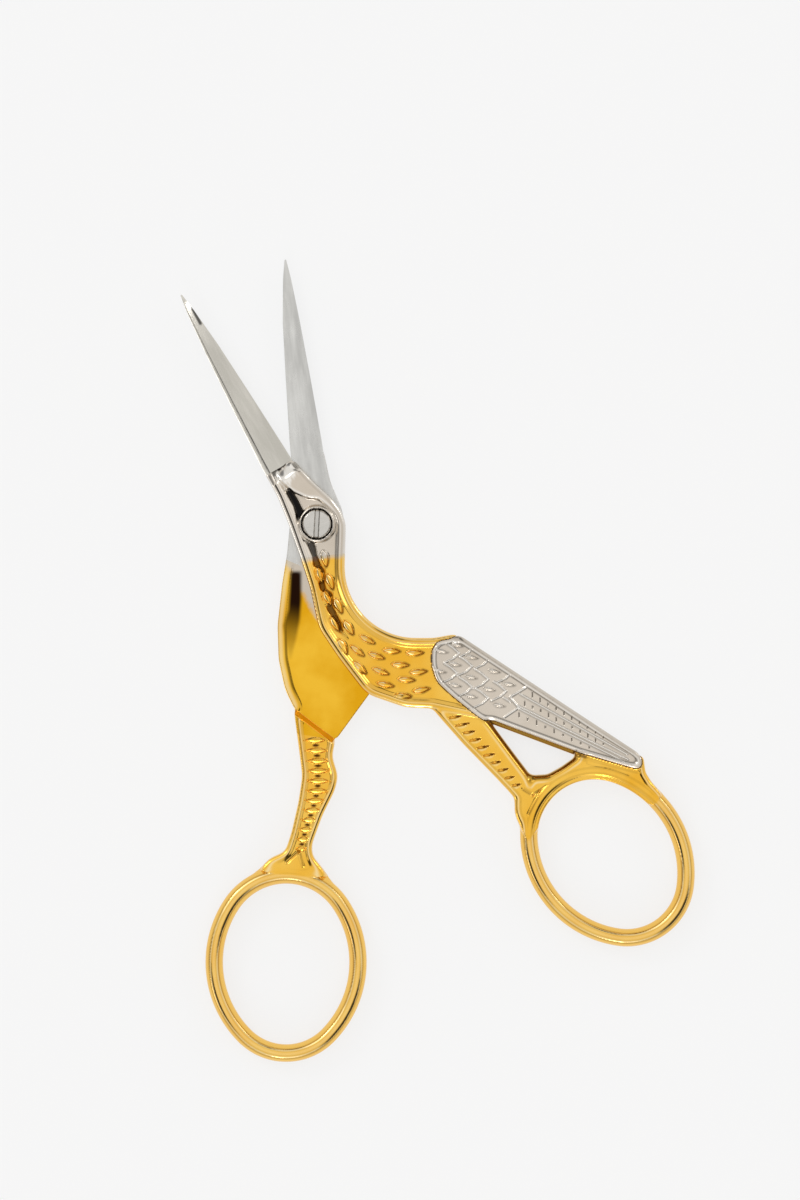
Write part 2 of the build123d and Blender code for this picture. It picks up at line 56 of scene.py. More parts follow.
# Along the blade: where the plate's face begins to fall, the painted highlight's flash and the burnt line
fall_start, flash_reach, burnt_reach = 7.6, (6.9, 9.6), (9.42, 9.95)
front_spine, front_edge, rear_spine, rear_edge, bevel = 2.72, 1.62, 2.15, 2.55, 0.75
hip_reach, rim_width, rim_drop, crest_inset, field_depth, trough_depth = 32.0, 1.2, 0.34, 0.38, 0.45, 0.8
wing_width, wing_plate, wall_width = 7.2, 1.2, 1.2
leg_width, leg_rim, leg_drop = 4.4, 0.95, 0.26
# The flat plate: its rolled edge, the crease beside it, and how far from the pivot the plate begins,
# the painted dark reflection on it fades, and the painted shade in the crease comes and goes
rolled_width, crease_inset, plate_begins, reflected_streak_fades = 0.95, 1.12, (4.0, 7.0), (11.5, 19.0)
crease_comes, crease_goes = (11, 15), (22.5, 25.5)
finger_reach, hole_length, hole_width, ring_bar = 62.9, 22.9, 18.0, 2.5
ring_near_radius, ring_widest_offset, ring_waist, ring_axis_tilt = 9.3, -0.27, 1.2, 4.1
ring_crown, crown_fall, crown_shift = 0.60, 0.16, 0.04
boss_radius, seat_radius, front_bore, rear_bore, seat_clearance = 2.45, 2.2, 1.33, 1.12, 0.03
head_radius, head_recess, head_height = 2.05, 0.15, 0.95
head_top = stack_height - head_recess
slot_bearing, slot_width, slot_depth = 87.0, 0.65, 0.5
shank_sides = 48
# Edges sharper than this many degrees stay sharp, on the blades and on the screw's shank
blade_sharp, shank_sharp = 32, 35
SHANK = [(0, 0.1), (0.85, 0.1), (1.05, 0.22), (1.1, 0.3), (1.1, 1.76), (1.3, 1.8), (1.3, 2.6), (0, 2.6)]

# Spacing of the meshes
fine = 0.125
wing_fine = 0.10
screw_fine, arc_steps, blade_steps = 0.05, 8, 141
# How far over the shear the outer side's paint begins, the part of a side that two arcs may fill,
# and how far a face goes over into the next
outer_paint, arc_room, leg_blend = 0.35, 0.98, 0.35
TINY = 1e-9

# Corners of the bird as shares of hip_reach: place, then the corner's radius where it is rounded
HEAD_RIGHT = [(-0.021, 0.196, 0.267), (0.072, 0.109, 0.062), (0.110, 0.058, 0.053), (0.130, 0.0, 0.062)]
NECK_RIGHT = [(0.126, -0.125, 0.267), (0.117, -0.507, 0.316), (0.522, -0.507, 0.134)]
HEAD_LEFT = [(-0.128, 0.004, 0.267), (-0.175, 0.120, 0.267)]
FRONT_LEFT = [(0.393, -0.817, 0.178), (0.219, -0.757, 0.134), (0.094, -0.592, 0.178), (0.008, -0.463, 0.178),
              (-0.030, -0.285, 0.267), (-0.070, -0.160, 0.267)]
REAR_LEFT = [(0.169, -0.734, 0.267), (0.088, -0.623, 0.267), (0.021, -0.483, 0.267), (-0.034, -0.307, 0.267),
             (-0.069, -0.172, 0.267)]
SHOULDER, HIP_RIGHT, HIP_LEFT = (0.624, -0.488), (0.771, -0.877), (0.513, -0.822)
DIVIDE_TOP, STEP_RIGHT, STEP_LEFT = (0.542, -0.499), (0.466, -0.846), (0.237, -0.791)
FRONT_PLATING = [(-0.088, -0.154), (0.157, -0.127)]
REAR_PLATING = [(-0.090, -0.191), (0.262, -0.449)]
FACE = [(-0.182, 0.240), (-0.164, 0.200), (-0.110, 0.151), (-0.045, 0.120), (0.009, 0.117), (0.054, 0.082),
        (0.091, 0.045), (0.114, 0.0), (0.192, 0.0), (0.059, 0.374), (-0.208, 0.374)]
PIT = [(-0.137, 0.151), (-0.119, 0.156), (-0.088, 0.111), (-0.061, 0.055), (-0.069, 0.022), (-0.071, -0.012),
       (-0.083, 0.022), (-0.101, 0.080)]
TROUGH = [(-0.048, -0.069), (-0.010, -0.092), (-0.002, -0.136), (0.016, -0.182), (0.036, -0.207),
          (0.031, -0.248), (0.039, -0.289), (0.069, -0.309), (0.069, -0.361), (0.090, -0.407),
          (0.110, -0.442), (0.116, -0.483), (0.141, -0.516), (0.100, -0.478), (0.090, -0.437),
          (0.054, -0.391), (0.039, -0.361), (0.059, -0.358), (0.062, -0.335), (0.044, -0.309),
          (0.021, -0.294), (0.011, -0.258), (0.026, -0.228), (0.016, -0.202), (-0.010, -0.187),
          (-0.017, -0.146)]
REFLECTED_STREAK = [(-0.019, -0.242), (0.02, -0.225), (0.071, -0.339), (0.1, -0.423), (0.12, -0.512),
          (0.132, -0.594), (0.089, -0.535), (0.049, -0.475), (0.041, -0.4), (0.01, -0.317)]
# Drops of neck, breast and wing: length and width, lift, and the depth of the moat round each
NECK_DROP, BREAST_DROP = ((2.35, 1.2), 0.36, 0.06), ((2.4, 0.9), 0.28, 0.04)
WING_DROP = ((1.7, 0.55), 0.14, 0.03)
# The side of each drop, feathers then scales, whose groove gets painted shade; its crest gets a painted
# highlight on the other side
FEATHER_SHADED_SIDE, SCALE_SHADED_SIDE = (0.9, -0.45), (0.1, -0.95)
# Feathers: place as shares of hip_reach and bearing in degrees
NECK_FEATHERS = [(0.036, -0.156, -80), (0.014, -0.227, -75), (0.059, -0.258, -68), (0.048, -0.330, -65),
                 (0.096, -0.365, -62), (0.082, -0.445, -62), (0.142, -0.463, -55), (0.116, -0.546, -60)]
BREAST_FEATHERS = [(0.225, -0.515, -28), (0.181, -0.565, -38), (0.266, -0.587, -20), (0.334, -0.565, -5),
                   (0.437, -0.574, 0), (0.194, -0.640, -45), (0.285, -0.656, -20), (0.372, -0.627, -3),
                   (0.453, -0.659, 5), (0.306, -0.715, -12), (0.400, -0.693, -5), (0.466, -0.739, 10),
                   (0.384, -0.765, -3)]
# The wing's outline as shares of its length and width, then its pattern in millimetres along and across
WING = [(0.033, 0.605, 0.079), (0.970, 0.174, 0.059), (1.001, 0.080, 0.059), (1.012, -0.083, 0.040),
        (0.977, -0.144, 0.119), (0.742, -0.359, 0.396), (0.337, -0.590, 0.040), (0.314, -0.680, 0.079),
        (0.255, -0.641, 0.158), (0.140, -0.536, 0.277), (0.054, -0.429, 0.277), (-0.001, -0.182, 0.237),
        (-0.031, 0.081, 0.158), (-0.025, 0.299, 0.099), (0.025, 0.463)]
WING_SHOULDER, WING_TIP = (0.531, -0.592), (-0.596, -0.904)
WALL = [(0.290, -0.620), (0.337, -0.590), (0.742, -0.359), (0.800, -0.320)]
SCALES = [(0.36, 1.14), (1.86, 2.89), (2.86, 0.36), (1.43, -1.51), (4.54, 2.37), (5.74, -0.22), (4.25, -2.29),
          (8.25, 2.06), (8.80, -0.55), (6.99, -2.62), (11.0, 1.41), (11.12, -1.91)]
# A scale's tip from its root, the bend and end of its arms from the tip, and where the scales give way
SCALE_TIP, scales_end, quills_start = (2.45, -0.3), 12.6, 13.0
SCALE_ARMS = ((-0.95, 0.85), (-1.75, 1.35)), ((-0.8, -0.75), (-2.1, -1.35))
ZIGZAG = [(13.5, 2.3), (12.0, -0.2), (13.8, -0.9), (12.6, -3.1)]
QUILLS = [((13.0, 0.9), (30.5, 0.35)), ((13.5, -0.75), (31.0, -0.25)), ((13.6, -1.05), (30.5, -0.75)),
          ((13.5, 2.3), (30.0, 1.1))]
BARBS = [((14.0, 1.6), (27.0, 0.95), 10), ((13.6, 0.05), (27.5, 0.1), 11), ((13.6, -1.9), (26.0, -1.25), 9)]
# Creases of the feet: start, end, depth, width and painted shade
CREASES = [((29.38, -37.76), (30.81, -38.62), 0.14, 0.2, 0.35),
           ((30.81, -38.62), (32.80, -37.34), 0.14, 0.2, 0.35),
           ((30.24, -41.33), (31.81, -38.19), 0.22, 0.22, 0.6),
           ((37.22, -33.20), (45.63, -35.20), 0.12, 0.34, 0.1),
           ((38.65, -34.06), (44.35, -35.77), 0.06, 0.26, 0.0)]
REAR_CREASES = [((15.55, -45.78), (16.48, -43.66), 0.2, 0.22, 0.6),
                ((16.48, -43.66), (17.87, -45.38), 0.14, 0.2, 0.4)]
WINDOW = [(25.1, -28.0), (37.1, -33.0), (30.6, -36.2)]
# Across the legs: count, first and last share, and the bends of the line they stand on
FRONT_NOTCHES = (10, -0.021, 0.794, ((0.0, 0.3, 0.8), (-0.80, -0.60, -0.30)))
REAR_BARS = (12, 0.104, 0.843, ((0.1, 0.23, 0.42, 0.59, 0.73, 0.85), (0.36, 1.18, 1.80, 1.45, 0.86, 0.65)))
# Turn of each from the leg's bearing, then half its length and width; a bar's length follows its place
NOTCH_SIZE, BAR_SIZE = (61, 1.0, 0.21), (98.5, 0.44)
BAR_LENGTHS = (0.1, 0.4, 0.85), (1.45, 1.6, 0.7)
# Corners of the legs as shares of their length and width, and of the pad as shares of the ring
FRONT_LEG = [(-0.271, -0.577), (-0.211, -0.590), (0.212, -0.548, 0.3), (0.610, -0.434, 0.3),
             (0.794, -0.393, 0.13), (0.899, -0.391, 0.097), (0.982, -0.639, 0.13), (1.071, -0.758),
             (1.150, 0.098), (0.805, 0.496, 0.032), (0.642, 0.521, 0.3), (0.207, 0.601), (0.099, 0.586)]
REAR_LEG = [(-0.128, -0.653), (-0.082, -0.757), (0.110, -0.490, 0.972), (0.356, -0.157, 0.389),
            (0.532, -0.156, 0.972), (0.737, -0.231, 0.389), (0.876, -0.339, 0.097), (0.939, -0.833, 0.097),
            (1.044, -1.147), (1.014, 1.256), (0.949, 0.945, 0.097), (0.881, 0.565, 0.13),
            (0.809, 0.479, 0.194), (0.600, 0.682, 0.972), (0.415, 0.968, 0.389), (0.319, 0.995, 0.194),
            (0.194, 0.703, 0.259), (0.086, 0.744), (0.023, 0.542)]
FRONT_HIP, FRONT_FOOT = (0.642, -0.851), (-0.998, 0.313)
REAR_HIP, REAR_FOOT = (0.352, -0.820), (-1.043, 0.078)
PAD = [(-0.65, 0.65), (-0.895, 0.585), (-1.008, 0.543, 0.04), (-1.119, 0.458, 0.03), (-1.244, 0.154, 0.03),
       (-1.137, -0.004, 0.05), (-1.113, -0.168, 0.08), (-1.106, -0.361), (-1.19, -0.42), (-0.98, -0.75),
       (-0.64, -0.98), (-0.491, -0.894, 0.05), (-0.354, -0.88), (-0.174, -0.884), (-0.123, -0.747),
       (-0.27, -0.64), (-0.64, -0.32), (-0.86, 0.05)]


# Flat geometry

def turned(point, angle):
    a = radians(angle)
    return (point[0] * cos(a) - point[1] * sin(a), point[0] * sin(a) + point[1] * cos(a))


def on_body(shares):
    return tuple(share * hip_reach for share in shares)


def local(place, bearing, x, y):
    """Distances along and across a bearing, from a place."""
    a = radians(bearing)
    dx, dy = x - place[0], y - place[1]
    return dx * cos(a) + dy * sin(a), dy * cos(a) - dx * sin(a)


class Frame:
    """A flat frame at a place, with shares of its length along a bearing and of its width across."""

    def __init__(self, start, bearing, length, width):
        self.start, self.bearing, self.length, self.width = start, bearing, length, width

    def point(self, along, across):
        step = turned((along * self.length, across * self.width), self.bearing)
        return (self.start[0] + step[0], self.start[1] + step[1])

    def corners(self, shares):
        return [(*self.point(u, v), *[r * abs(self.width) for r in radius]) for u, v, *radius in shares]

    def local(self, x, y):
        return local(self.start, self.bearing, x, y)


def strut(start, end, width):
    """A frame from one point to another."""
    dx, dy = end[0] - start[0], end[1] - start[1]
    return Frame(start, degrees(atan2(dy, dx)), hypot(dx, dy), width)


class Ring(Frame):
    """A finger ring's oval, four arcs about its own centre."""

    def __init__(self, side):
        bearing = bird_axis + side * ring_centre_bearing
        half = (hole_length + ring_bar) / 2
        centre = turned((finger_reach, 0), bearing)
        super().__init__(centre, bearing - side * ring_axis_tilt, half, -side * half)

    def offset(self, x, y):
        """Distance outward from the bar's middle line."""
        u, v = self.local(x, y)
        half_width = (hole_width + ring_bar) / 2
        near = self.length - ring_near_radius
        reach = near + ring_widest_offset
        squares = reach ** 2 + half_width ** 2 - ring_near_radius ** 2
        side_radius = squares / (2 * (half_width - ring_near_radius))
        inset = side_radius - half_width
        rest = self.length - ring_widest_offset
        far_radius = (side_radius ** 2 - inset ** 2 - rest ** 2) / (2 * (side_radius - rest))
        far = self.length - far_radius
        # each arc holds between the lines from the side arc's centre through its neighbours' centres
        sx, sy = u - ring_widest_offset, np.abs(v) + inset
        near_lean, far_lean = atan2(reach, inset), atan2(far - ring_widest_offset, inset)
        bearing = np.arctan2(sx, sy)
        side = np.hypot(sx, sy) - side_radius
        back = np.hypot(u + near, v) - ring_near_radius
        front = np.hypot(u - far, v) - far_radius
        return np.where(bearing < -near_lean, back, np.where(bearing > far_lean, front, side))


def stretches(corners):
    """An outline's straight stretches, its arcs, and points along it."""
    places = [Vector(corner[:2]) for corner in corners]
    count = len(places)
    sides = [places[(i + 1) % count] - places[i] for i in range(count)]
    halves = [sides[i - 1].angle(sides[i]) / 2 for i in range(count)]
    radii = [corner[2] if len(corner) > 2 else 0 for corner in corners]
    trims = [radius * tan(half) for radius, half in zip(radii, halves)]
    # where two arcs would meet on a short side, both are made smaller
    rooms = []
    for i, side in enumerate(sides):
        wanted = trims[i] + trims[(i + 1) % count]
        rooms.append(min(1, arc_room * side.length / wanted) if wanted else 1)
    arcs, ends, path = [], [], []
    for i, place in enumerate(places):
        trim = trims[i] * min(rooms[i - 1], rooms[i])
        if trim == 0:
            ends.append((place, place))
            path.append(place)
            continue
        radius = trim / tan(halves[i])
        back, ahead = sides[i - 1].normalized(), sides[i].normalized()
        out = (back - ahead).normalized()
        centre = place - out * (radius / cos(halves[i]))
        arcs.append((centre, radius, out, cos(halves[i])))
        ends.append((place - back * trim, place + ahead * trim))
        first = ends[-1][0] - centre
        sweep = first.angle_signed(ends[-1][1] - centre)
        for step in range(arc_steps + 1):
            path.append(centre + Matrix.Rotation(-sweep * step / arc_steps, 2) @ first)
    lines = [(ends[i - 1][1], ends[i][0]) for i in range(count)]
    return lines, arcs, path


def stroke(a, b, x, y):
    """Distance to a straight stroke."""
    dx, dy = b[0] - a[0], b[1] - a[1]
    t = unit(((x - a[0]) * dx + (y - a[1]) * dy) / max(dx * dx + dy * dy, TINY))
    return np.hypot(x - a[0] - t * dx, y - a[1] - t * dy)


def outline_distance(corners, x, y, soft=0):
    """Distance to an outline, below 0 inside it, with its corners softened over a reach."""
    lines, arcs, path = stretches(corners)
    best = least(*[stroke(a, b, x, y) for a, b in lines])
    for centre, radius, out, lean in arcs:
        vx, vy = x - centre.x, y - centre.y
        size = np.hypot(vx, vy)
        near = vx * out.x + vy * out.y > size * lean
        best = np.where(near, least(best, np.abs(size - radius)), best)
    inside = np.zeros(x.shape, bool)
    for a, b in zip(path, path[1:] + path[:1]):
        if a.y != b.y:
            inside ^= ((a.y > y) != (b.y > y)) & (x < (b.x - a.x) * (y - a.y) / (b.y - a.y) + a.x)
    distance = np.where(inside, -best, best)
    return smoothed(distance, x, soft) if soft else distance


def body_distance(shares, x, y, soft):
    return outline_distance([on_body(s) for s in shares], x, y, soft)


def line_side(start, end, x, y):
    """Distance to the left of a line."""
    dx, dy = end[0] - start[0], end[1] - start[1]
    return (dx * (y - start[1]) - dy * (x - start[0])) / hypot(dx, dy)


def most(*maps):
    """The greatest of some maps or numbers, place by place."""
    return reduce(np.maximum, maps)


def least(*maps):
    return reduce(np.minimum, maps)


def unit(value):
    """A value held between 0 and 1."""
    return np.clip(value, 0, 1)


def ramp(value, low, high):
    """0 below low, 1 above high, smooth between."""
    t = unit((value - low) / (high - low))
    return t * t * (3 - 2 * t)


def smoothed(values, x, reach):
    """A map with its corners rounded, by three running means over a reach in millimetres."""
    k = max(1, int(round(reach / (x[1, 0] - x[0, 0]))))
    for axis in (0, 1, 0, 1, 0, 1):
        pads = [(k + 1, k) if a == axis else (0, 0) for a in (0, 1)]
        total = np.cumsum(np.pad(values, pads, mode="reflect", reflect_type="odd"), axis)
        n = values.shape[axis]
        high = np.take(total, np.arange(2 * k + 1, 2 * k + 1 + n), axis)
        values = (high - np.take(total, np.arange(n), axis)) / (2 * k + 1)
    return values


def spot(value, low, high):
    """1 between low and high, with soft ends."""
    middle, half = (low + high) / 2, (high - low) / 2
    return 1 - ramp(np.abs(value - middle), half * 0.5, half)


def bell(value, middle, width):
    """1 at the middle, falling off over the width on both sides."""
    return np.exp(-((value - middle) / width) ** 2)


def soft_max(a, b, k):
    """The greater of two, with the corner between them rounded over k."""
    h = most(k - np.abs(a - b), 0) / k
    return most(a, b) + h * h * k / 4


def soft_min(a, b, k):
    return -soft_max(-a, -b, k)


def blend(first, second, share):
    """Each map of the first set as it goes over into the second's."""
    return [a + (b - a) * share for a, b in zip(first, second)]


# A solid between two height maps inside an outline, meshed as one closed skin

def catmull(t):
    """Weights and their slopes for a cubic through four samples."""
    t2, t3 = t * t, t * t * t
    value = [(-t3 + 2 * t2 - t) / 2, (3 * t3 - 5 * t2 + 2) / 2, (-3 * t3 + 4 * t2 + t) / 2, (t3 - t2) / 2]
    slope = [(-3 * t2 + 4 * t - 1) / 2, (9 * t2 - 10 * t) / 2, (-9 * t2 + 8 * t + 1) / 2,
             (3 * t2 - 2 * t) / 2]
    return value, slope


class Relief:
    """Maps of outline distance, top and bottom on a grid, and the skin round the solid between them."""

    def __init__(self, shape, low, high, pitch, round_top, round_bottom):
        self.low, self.pitch = low, pitch
        self.round_top, self.round_bottom = round_top, round_bottom
        self.count = [int((high[i] - low[i]) / pitch) + 2 for i in range(2)]
        x, y = np.meshgrid(*[low[i] + pitch * np.arange(self.count[i]) for i in range(2)], indexing="ij")
        maps = [np.asarray(m, float) * np.ones(x.shape) for m in shape(x, y)]
        self.maps, self.paints = maps[:3], maps[3:]

    def sample(self, grid, x, y):
        u = (x - self.low[0]) / self.pitch
        v = (y - self.low[1]) / self.pitch
        i = np.clip(np.floor(u).astype(int), 1, self.count[0] - 3)
        j = np.clip(np.floor(v).astype(int), 1, self.count[1] - 3)
        wu, su = catmull(u - i)
        wv, sv = catmull(v - j)
        value, gx, gy = 0, 0, 0
        for a, b in product(range(4), repeat=2):
            g = grid[i - 1 + a, j - 1 + b]
            value = value + g * wu[a] * wv[b]
            gx = gx + g * su[a] * wv[b]
            gy = gy + g * wu[a] * sv[b]
        return value, gx / self.pitch, gy / self.pitch

    def sides(self, d, z, top, bottom):
        """For each face the solid's value there, with a rounded edge, and what sides and face give to it."""
        for b, r in ((z - top, self.round_top), (bottom - z, self.round_bottom)):
            wa, wb = most(d + r, 0), most(b + r, 0)
            yield least(most(d, b) + r, 0) + np.hypot(wa, wb) - r, wa, wb, d > b

    def field(self, z):
        """Below 0 inside the solid, at levels over the whole grid."""
        d, top, bottom = [m[:, :, None] for m in self.maps]
        return most(*[value for value, *_ in self.sides(d, z, top, bottom)])

    def at(self, p):
        """The solid's distance-like value and its slope at points."""
        x, y, z = p.T
        (d, dx, dy), (top, tx, ty), (bottom, bx, by) = [self.sample(m, x, y) for m in self.maps]
        found = []
        slopes = (-tx, -ty, 1), (bx, by, -1)
        for (value, wa, wb, outer), (hx, hy, hz) in zip(self.sides(d, z, top, bottom), slopes):
            flat = (wa == 0) & (wb == 0)
            wa, wb = np.where(flat, outer, wa), np.where(flat, ~outer, wb)
            g = np.stack([wa * dx + wb * hx, wa * dy + wb * hy, wb * hz], 1)
            found.append((value, g / most(np.hypot(wa, wb), TINY)[:, None]))
        (above, g_above), (below, g_below) = found
        pick = above >= below
        return np.where(pick, above, below), np.where(pick[:, None], g_above, g_below)

    def painted(self, p, first):
        """A paint's share at points: one map for the outer side, the next for the inner side."""
        x, y, z = p.T
        upper, lower = [self.sample(m, x, y)[0] for m in self.paints[first:first + 2]] or (0 * x, 0 * x)
        return unit(np.where(z > shear + outer_paint, upper, lower))

    def skin(self, floor, ceiling):
        """Points and quads, moved onto the surface by a few short steps along the slope."""
        levels = floor + self.pitch * np.arange(int((ceiling - floor) / self.pitch) + 2)
        places, quads = surface_net(self.field(levels[None, None, :]).astype(np.float32))
        p = places * self.pitch + np.array([*self.low, floor])
        for _ in range(4):
            value, g = self.at(p)
            step = -value[:, None] * g / most((g * g).sum(1), 1e-6)[:, None]
            size = np.linalg.norm(step, axis=1, keepdims=True)
            p = p + step * least(1, 0.5 * self.pitch / most(size, TINY))
        return p, quads


def surface_net(v):
    """Closed quads round where v is below 0, one corner point in each crossed cell."""
    s = v < 0
    n = v.shape
    total = np.zeros([k - 1 for k in n], np.uint8)
    for c in product((0, 1), repeat=3):
        total += s[c[0]:n[0] - 1 + c[0], c[1]:n[1] - 1 + c[1], c[2]:n[2] - 1 + c[2]]
    cells = np.stack(np.nonzero((total > 0) & (total < 8)))
    index = np.full(total.shape, -1, np.int64)
    index[tuple(cells)] = np.arange(cells.shape[1])
    place, crossings = np.zeros((cells.shape[1], 3)), np.zeros(cells.shape[1])
    for axis, c in product(range(3), product((0, 1), repeat=3)):
        if c[axis]:
            continue
        near = np.array(c, float)
        far = near.copy()
        far[axis] = 1
        va, vb = [v[tuple(cells + end.astype(int)[:, None])] for end in (near, far)]
        hit = (va < 0) != (vb < 0)
        point = np.tile(near, (len(hit), 1))
        point[:, axis] = np.where(hit, va / np.where(hit, va - vb, 1), 0)
        place += point * hit[:, None]
        crossings += hit
    place = place / crossings[:, None] + cells.T
    quads = []
    for axis in range(3):
        b, c = (axis + 1) % 3, (axis + 2) % 3
        first = [slice(1, k - 1) for k in n]
        second = list(first)
        first[axis], second[axis] = slice(0, n[axis] - 1), slice(1, n[axis])
        inner, outer = s[tuple(first)], s[tuple(second)]
        edges = np.stack(np.nonzero(inner != outer), 1)
        rising = inner[tuple(edges.T)]
        ring = []
        for db, dc in ((0, 0), (1, 0), (1, 1), (0, 1)):
            cell = edges.copy()
            cell[:, b] += db
            cell[:, c] += dc
            ring.append(index[tuple(cell.T)])
        quad = np.stack(ring, 1)
        quads.append(np.where(rising[:, None], quad, quad[:, ::-1]))
    return place, np.concatenate(quads)


# From points to pieces

def to_row(points, rear):
    """Directions from the drawing to the row frame; the rear half is turned over and swung open."""
    p = np.array(points, float)
    if rear:
        p = np.stack([*turned(p.T, -closing_angle), -p[:, 2]], 1)
    return p


def placed(points, rear):
    p = to_row(points, rear)
    p[:, 2] += stack_height if rear else 0
    return (p + np.array([PIVOT[0], PIVOT[1], 0])) * MM


def piece(name, points, faces, body, slot, nodes, material, rear=False, normals=None, sharp=0, marks=None):
    """A closed mesh from drawing points; normals, where given, are one direction for each face corner."""
    if rear:
        faces = [face[::-1] for face in faces]
        normals = normals and [row[::-1] for row in normals]
    mesh = bpy.data.meshes.new(name)
    mesh.from_pydata(placed(points, rear).tolist(), [], faces)
    mesh.polygons.foreach_set("use_smooth", np.ones(len(mesh.polygons), bool))
    if sharp:
        mesh.set_sharp_from_angle(angle=radians(sharp))
    mesh.update()
    if normals:
        directions = to_row([corner for row in normals for corner in row], rear)
        directions /= most(np.linalg.norm(directions, axis=1, keepdims=True), TINY)
        mesh.normals_split_custom_set(directions.tolist())
    for title, values in (marks or {}).items():
        mesh.attributes.new(title, "FLOAT", "POINT").data.foreach_set("value", np.asarray(values, np.float32))
    mesh.materials.append(material)
    thing = bpy.data.objects.new(name, mesh)
    bpy.context.scene.collection.objects.link(thing)
    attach(thing, body)
    if nodes:
        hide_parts(*nodes)


def cut_skin(relief, points, quads, cuts):
    """A skin cut along upright planes through two points each; one side of each is kept and capped."""
    bm = bmesh.new()
    corners = [bm.verts.new(point) for point in points]
    for quad in quads:
        bm.faces.new([corners[i] for i in quad])
    caps = {}
    for start, end, keep_left in cuts:
        out = Vector((end[1] - start[1], start[0] - end[0], 0)).normalized() * (1 if keep_left else -1)
        parts = bm.verts[:] + bm.edges[:] + bm.faces[:]
        bmesh.ops.bisect_plane(
            bm, geom=parts, dist=1e-5, plane_co=(*start, 0), plane_no=out, clear_outer=True)
        edges = [edge for edge in bm.edges if edge.is_boundary]
        for cap in bmesh.ops.holes_fill(bm, edges=edges, sides=0)["faces"]:
            cap.normal_update()
            if cap.normal.dot(out) < 0:
                cap.normal_flip()
            caps[cap] = tuple(out)
    bm.verts.index_update()
    verts = np.array([vert.co for vert in bm.verts])
    slopes = relief.at(verts)[1].tolist()
    faces, normals = [], []
    for face in bm.faces:
        faces.append([vert.index for vert in face.verts])
        normals.append([caps.get(face) or slopes[i] for i in faces[-1]])
    bm.free()
    return verts, faces, normals


# Height maps

front_ring, rear_ring = Ring(1), Ring(-1)
front_leg = strut(on_body(FRONT_HIP), front_ring.point(*FRONT_FOOT), leg_width)
rear_leg = strut(on_body(REAR_HIP), rear_ring.point(*REAR_FOOT), leg_width)
wing = strut(on_body(WING_SHOULDER), front_ring.point(*WING_TIP), wing_width)


def rim_profile(inside, width, drop, depth):
    """A border that slopes down to the outside and falls to a sunk field inside it."""
    crest = width - crest_inset
    outer = drop * unit((crest - inside) / crest) ** 1.7
    return -outer - depth * ramp(inside, crest + 0.02, width + 0.12)


def drop_height(x, y, place, bearing, length, width, lift):
    """A teardrop's height over its ground, blunt end first, and a soft moat round it."""
    u, v = local(place, bearing, x, y)
    share = (u + length / 2) / length
    within, held = (share > 0) & (share < 1), unit(share)
    half = width / 2 * np.sqrt(held) * (1 - held ** 1.6) * 1.75
    inside = unit(1 - (v / most(half, 0.02)) ** 2) * within
    edge = np.where(within, np.abs(v) - half, np.hypot(np.abs(u) - length / 2, v))
    return lift * inside ** 0.62, bell(edge, 0.08, 0.13)


def add_drops(maps, x, y, rows, size, lift, groove, shaded_side, deep, scale=hip_reach):
    """Raises drops on a face; each gets painted shade in the groove on one side and a painted highlight on
    its crest toward the other.
    """
    top, dark, bright = [m.copy() for m in maps]
    length, width = size
    for *shares, bearing in rows:
        px, py = [share * scale for share in shares]
        near = (np.abs(x - px) < length) & (np.abs(y - py) < length)
        raised, moat = drop_height(x[near], y[near], (px, py), bearing, length, width, lift)
        toward_shade = (x[near] - px) * shaded_side[0] + (y[near] - py) * shaded_side[1]
        top[near] = top[near] + raised - groove * moat
        # painted shade in the groove on the shaded side, painted highlight on the crest away from it
        kept = dark[near] * (1 - ramp(raised, 0, 0.4 * lift))
        dark[near] = most(kept, deep * moat * ramp(toward_shade, 0.05, 0.5 * width))
        crest = spot(raised / lift, 0.25, 1.0) * ramp(-toward_shade, -0.05, 0.3 * width)
        bright[near] = most(bright[near], 0.8 * crest)
    return top, dark, bright


def bird_relief(x, y, inside):
    """The outer face of head, neck and breast: its height, painted shade in its recesses and painted
    highlights on its crests.
    """
    reach = np.hypot(x, y)
    face = body_distance(FACE, x, y, 0.4)
    open_field = ramp(face, -0.10, 0.42) * ramp(reach, boss_radius - 0.03, boss_radius + 0.40)
    top = stack_height + rim_profile(inside, rim_width, rim_drop, 0.0)
    top = top - field_depth * ramp(inside, rim_width - 0.45, rim_width + 0.40) * open_field
    top = top + 0.05 * bell(face, -0.1, 0.22) * ramp(inside, 0.5, 1.0)
    dark = 0 * x
    # painted highlights along the face's edge and along the rims
    shine = 0.75 * bell(face, -0.1, 0.13) * ramp(inside, 0.5, 1.0) * ramp(reach, 2.6, 3.2)
    rims = 0.55 * bell(inside, 0.24, 0.10), 0.45 * bell(inside, rim_width - 0.46, 0.10) * open_field
    bright = most(shine, *rims)
    # painted shade in the pit and the trough
    for corners, deep in ((PIT, 1.0), (TROUGH, 0.9)):
        pocket = body_distance(corners, x, y, 0.12)
        weight = ramp(-pocket, -0.24, 0.16) * ramp(reach, boss_radius, boss_radius + 0.3)
        top = top + (stack_height - trough_depth - top) * weight
        near_boss = ramp(reach, boss_radius, boss_radius + 0.2)
        dark = most(dark, deep * ramp(-pocket, -0.12, 0.10) * near_boss)
    plain = feathered = top, dark, bright
    for rows, drop in ((NECK_FEATHERS, NECK_DROP), (BREAST_FEATHERS, BREAST_DROP)):
        feathered = add_drops(feathered, x, y, rows, *drop, FEATHER_SHADED_SIDE, 0.7)
    top, dark, bright = blend(plain, feathered, ramp(inside, rim_width - 0.35, rim_width + 0.1))
    return least(top, stack_height), dark, bright


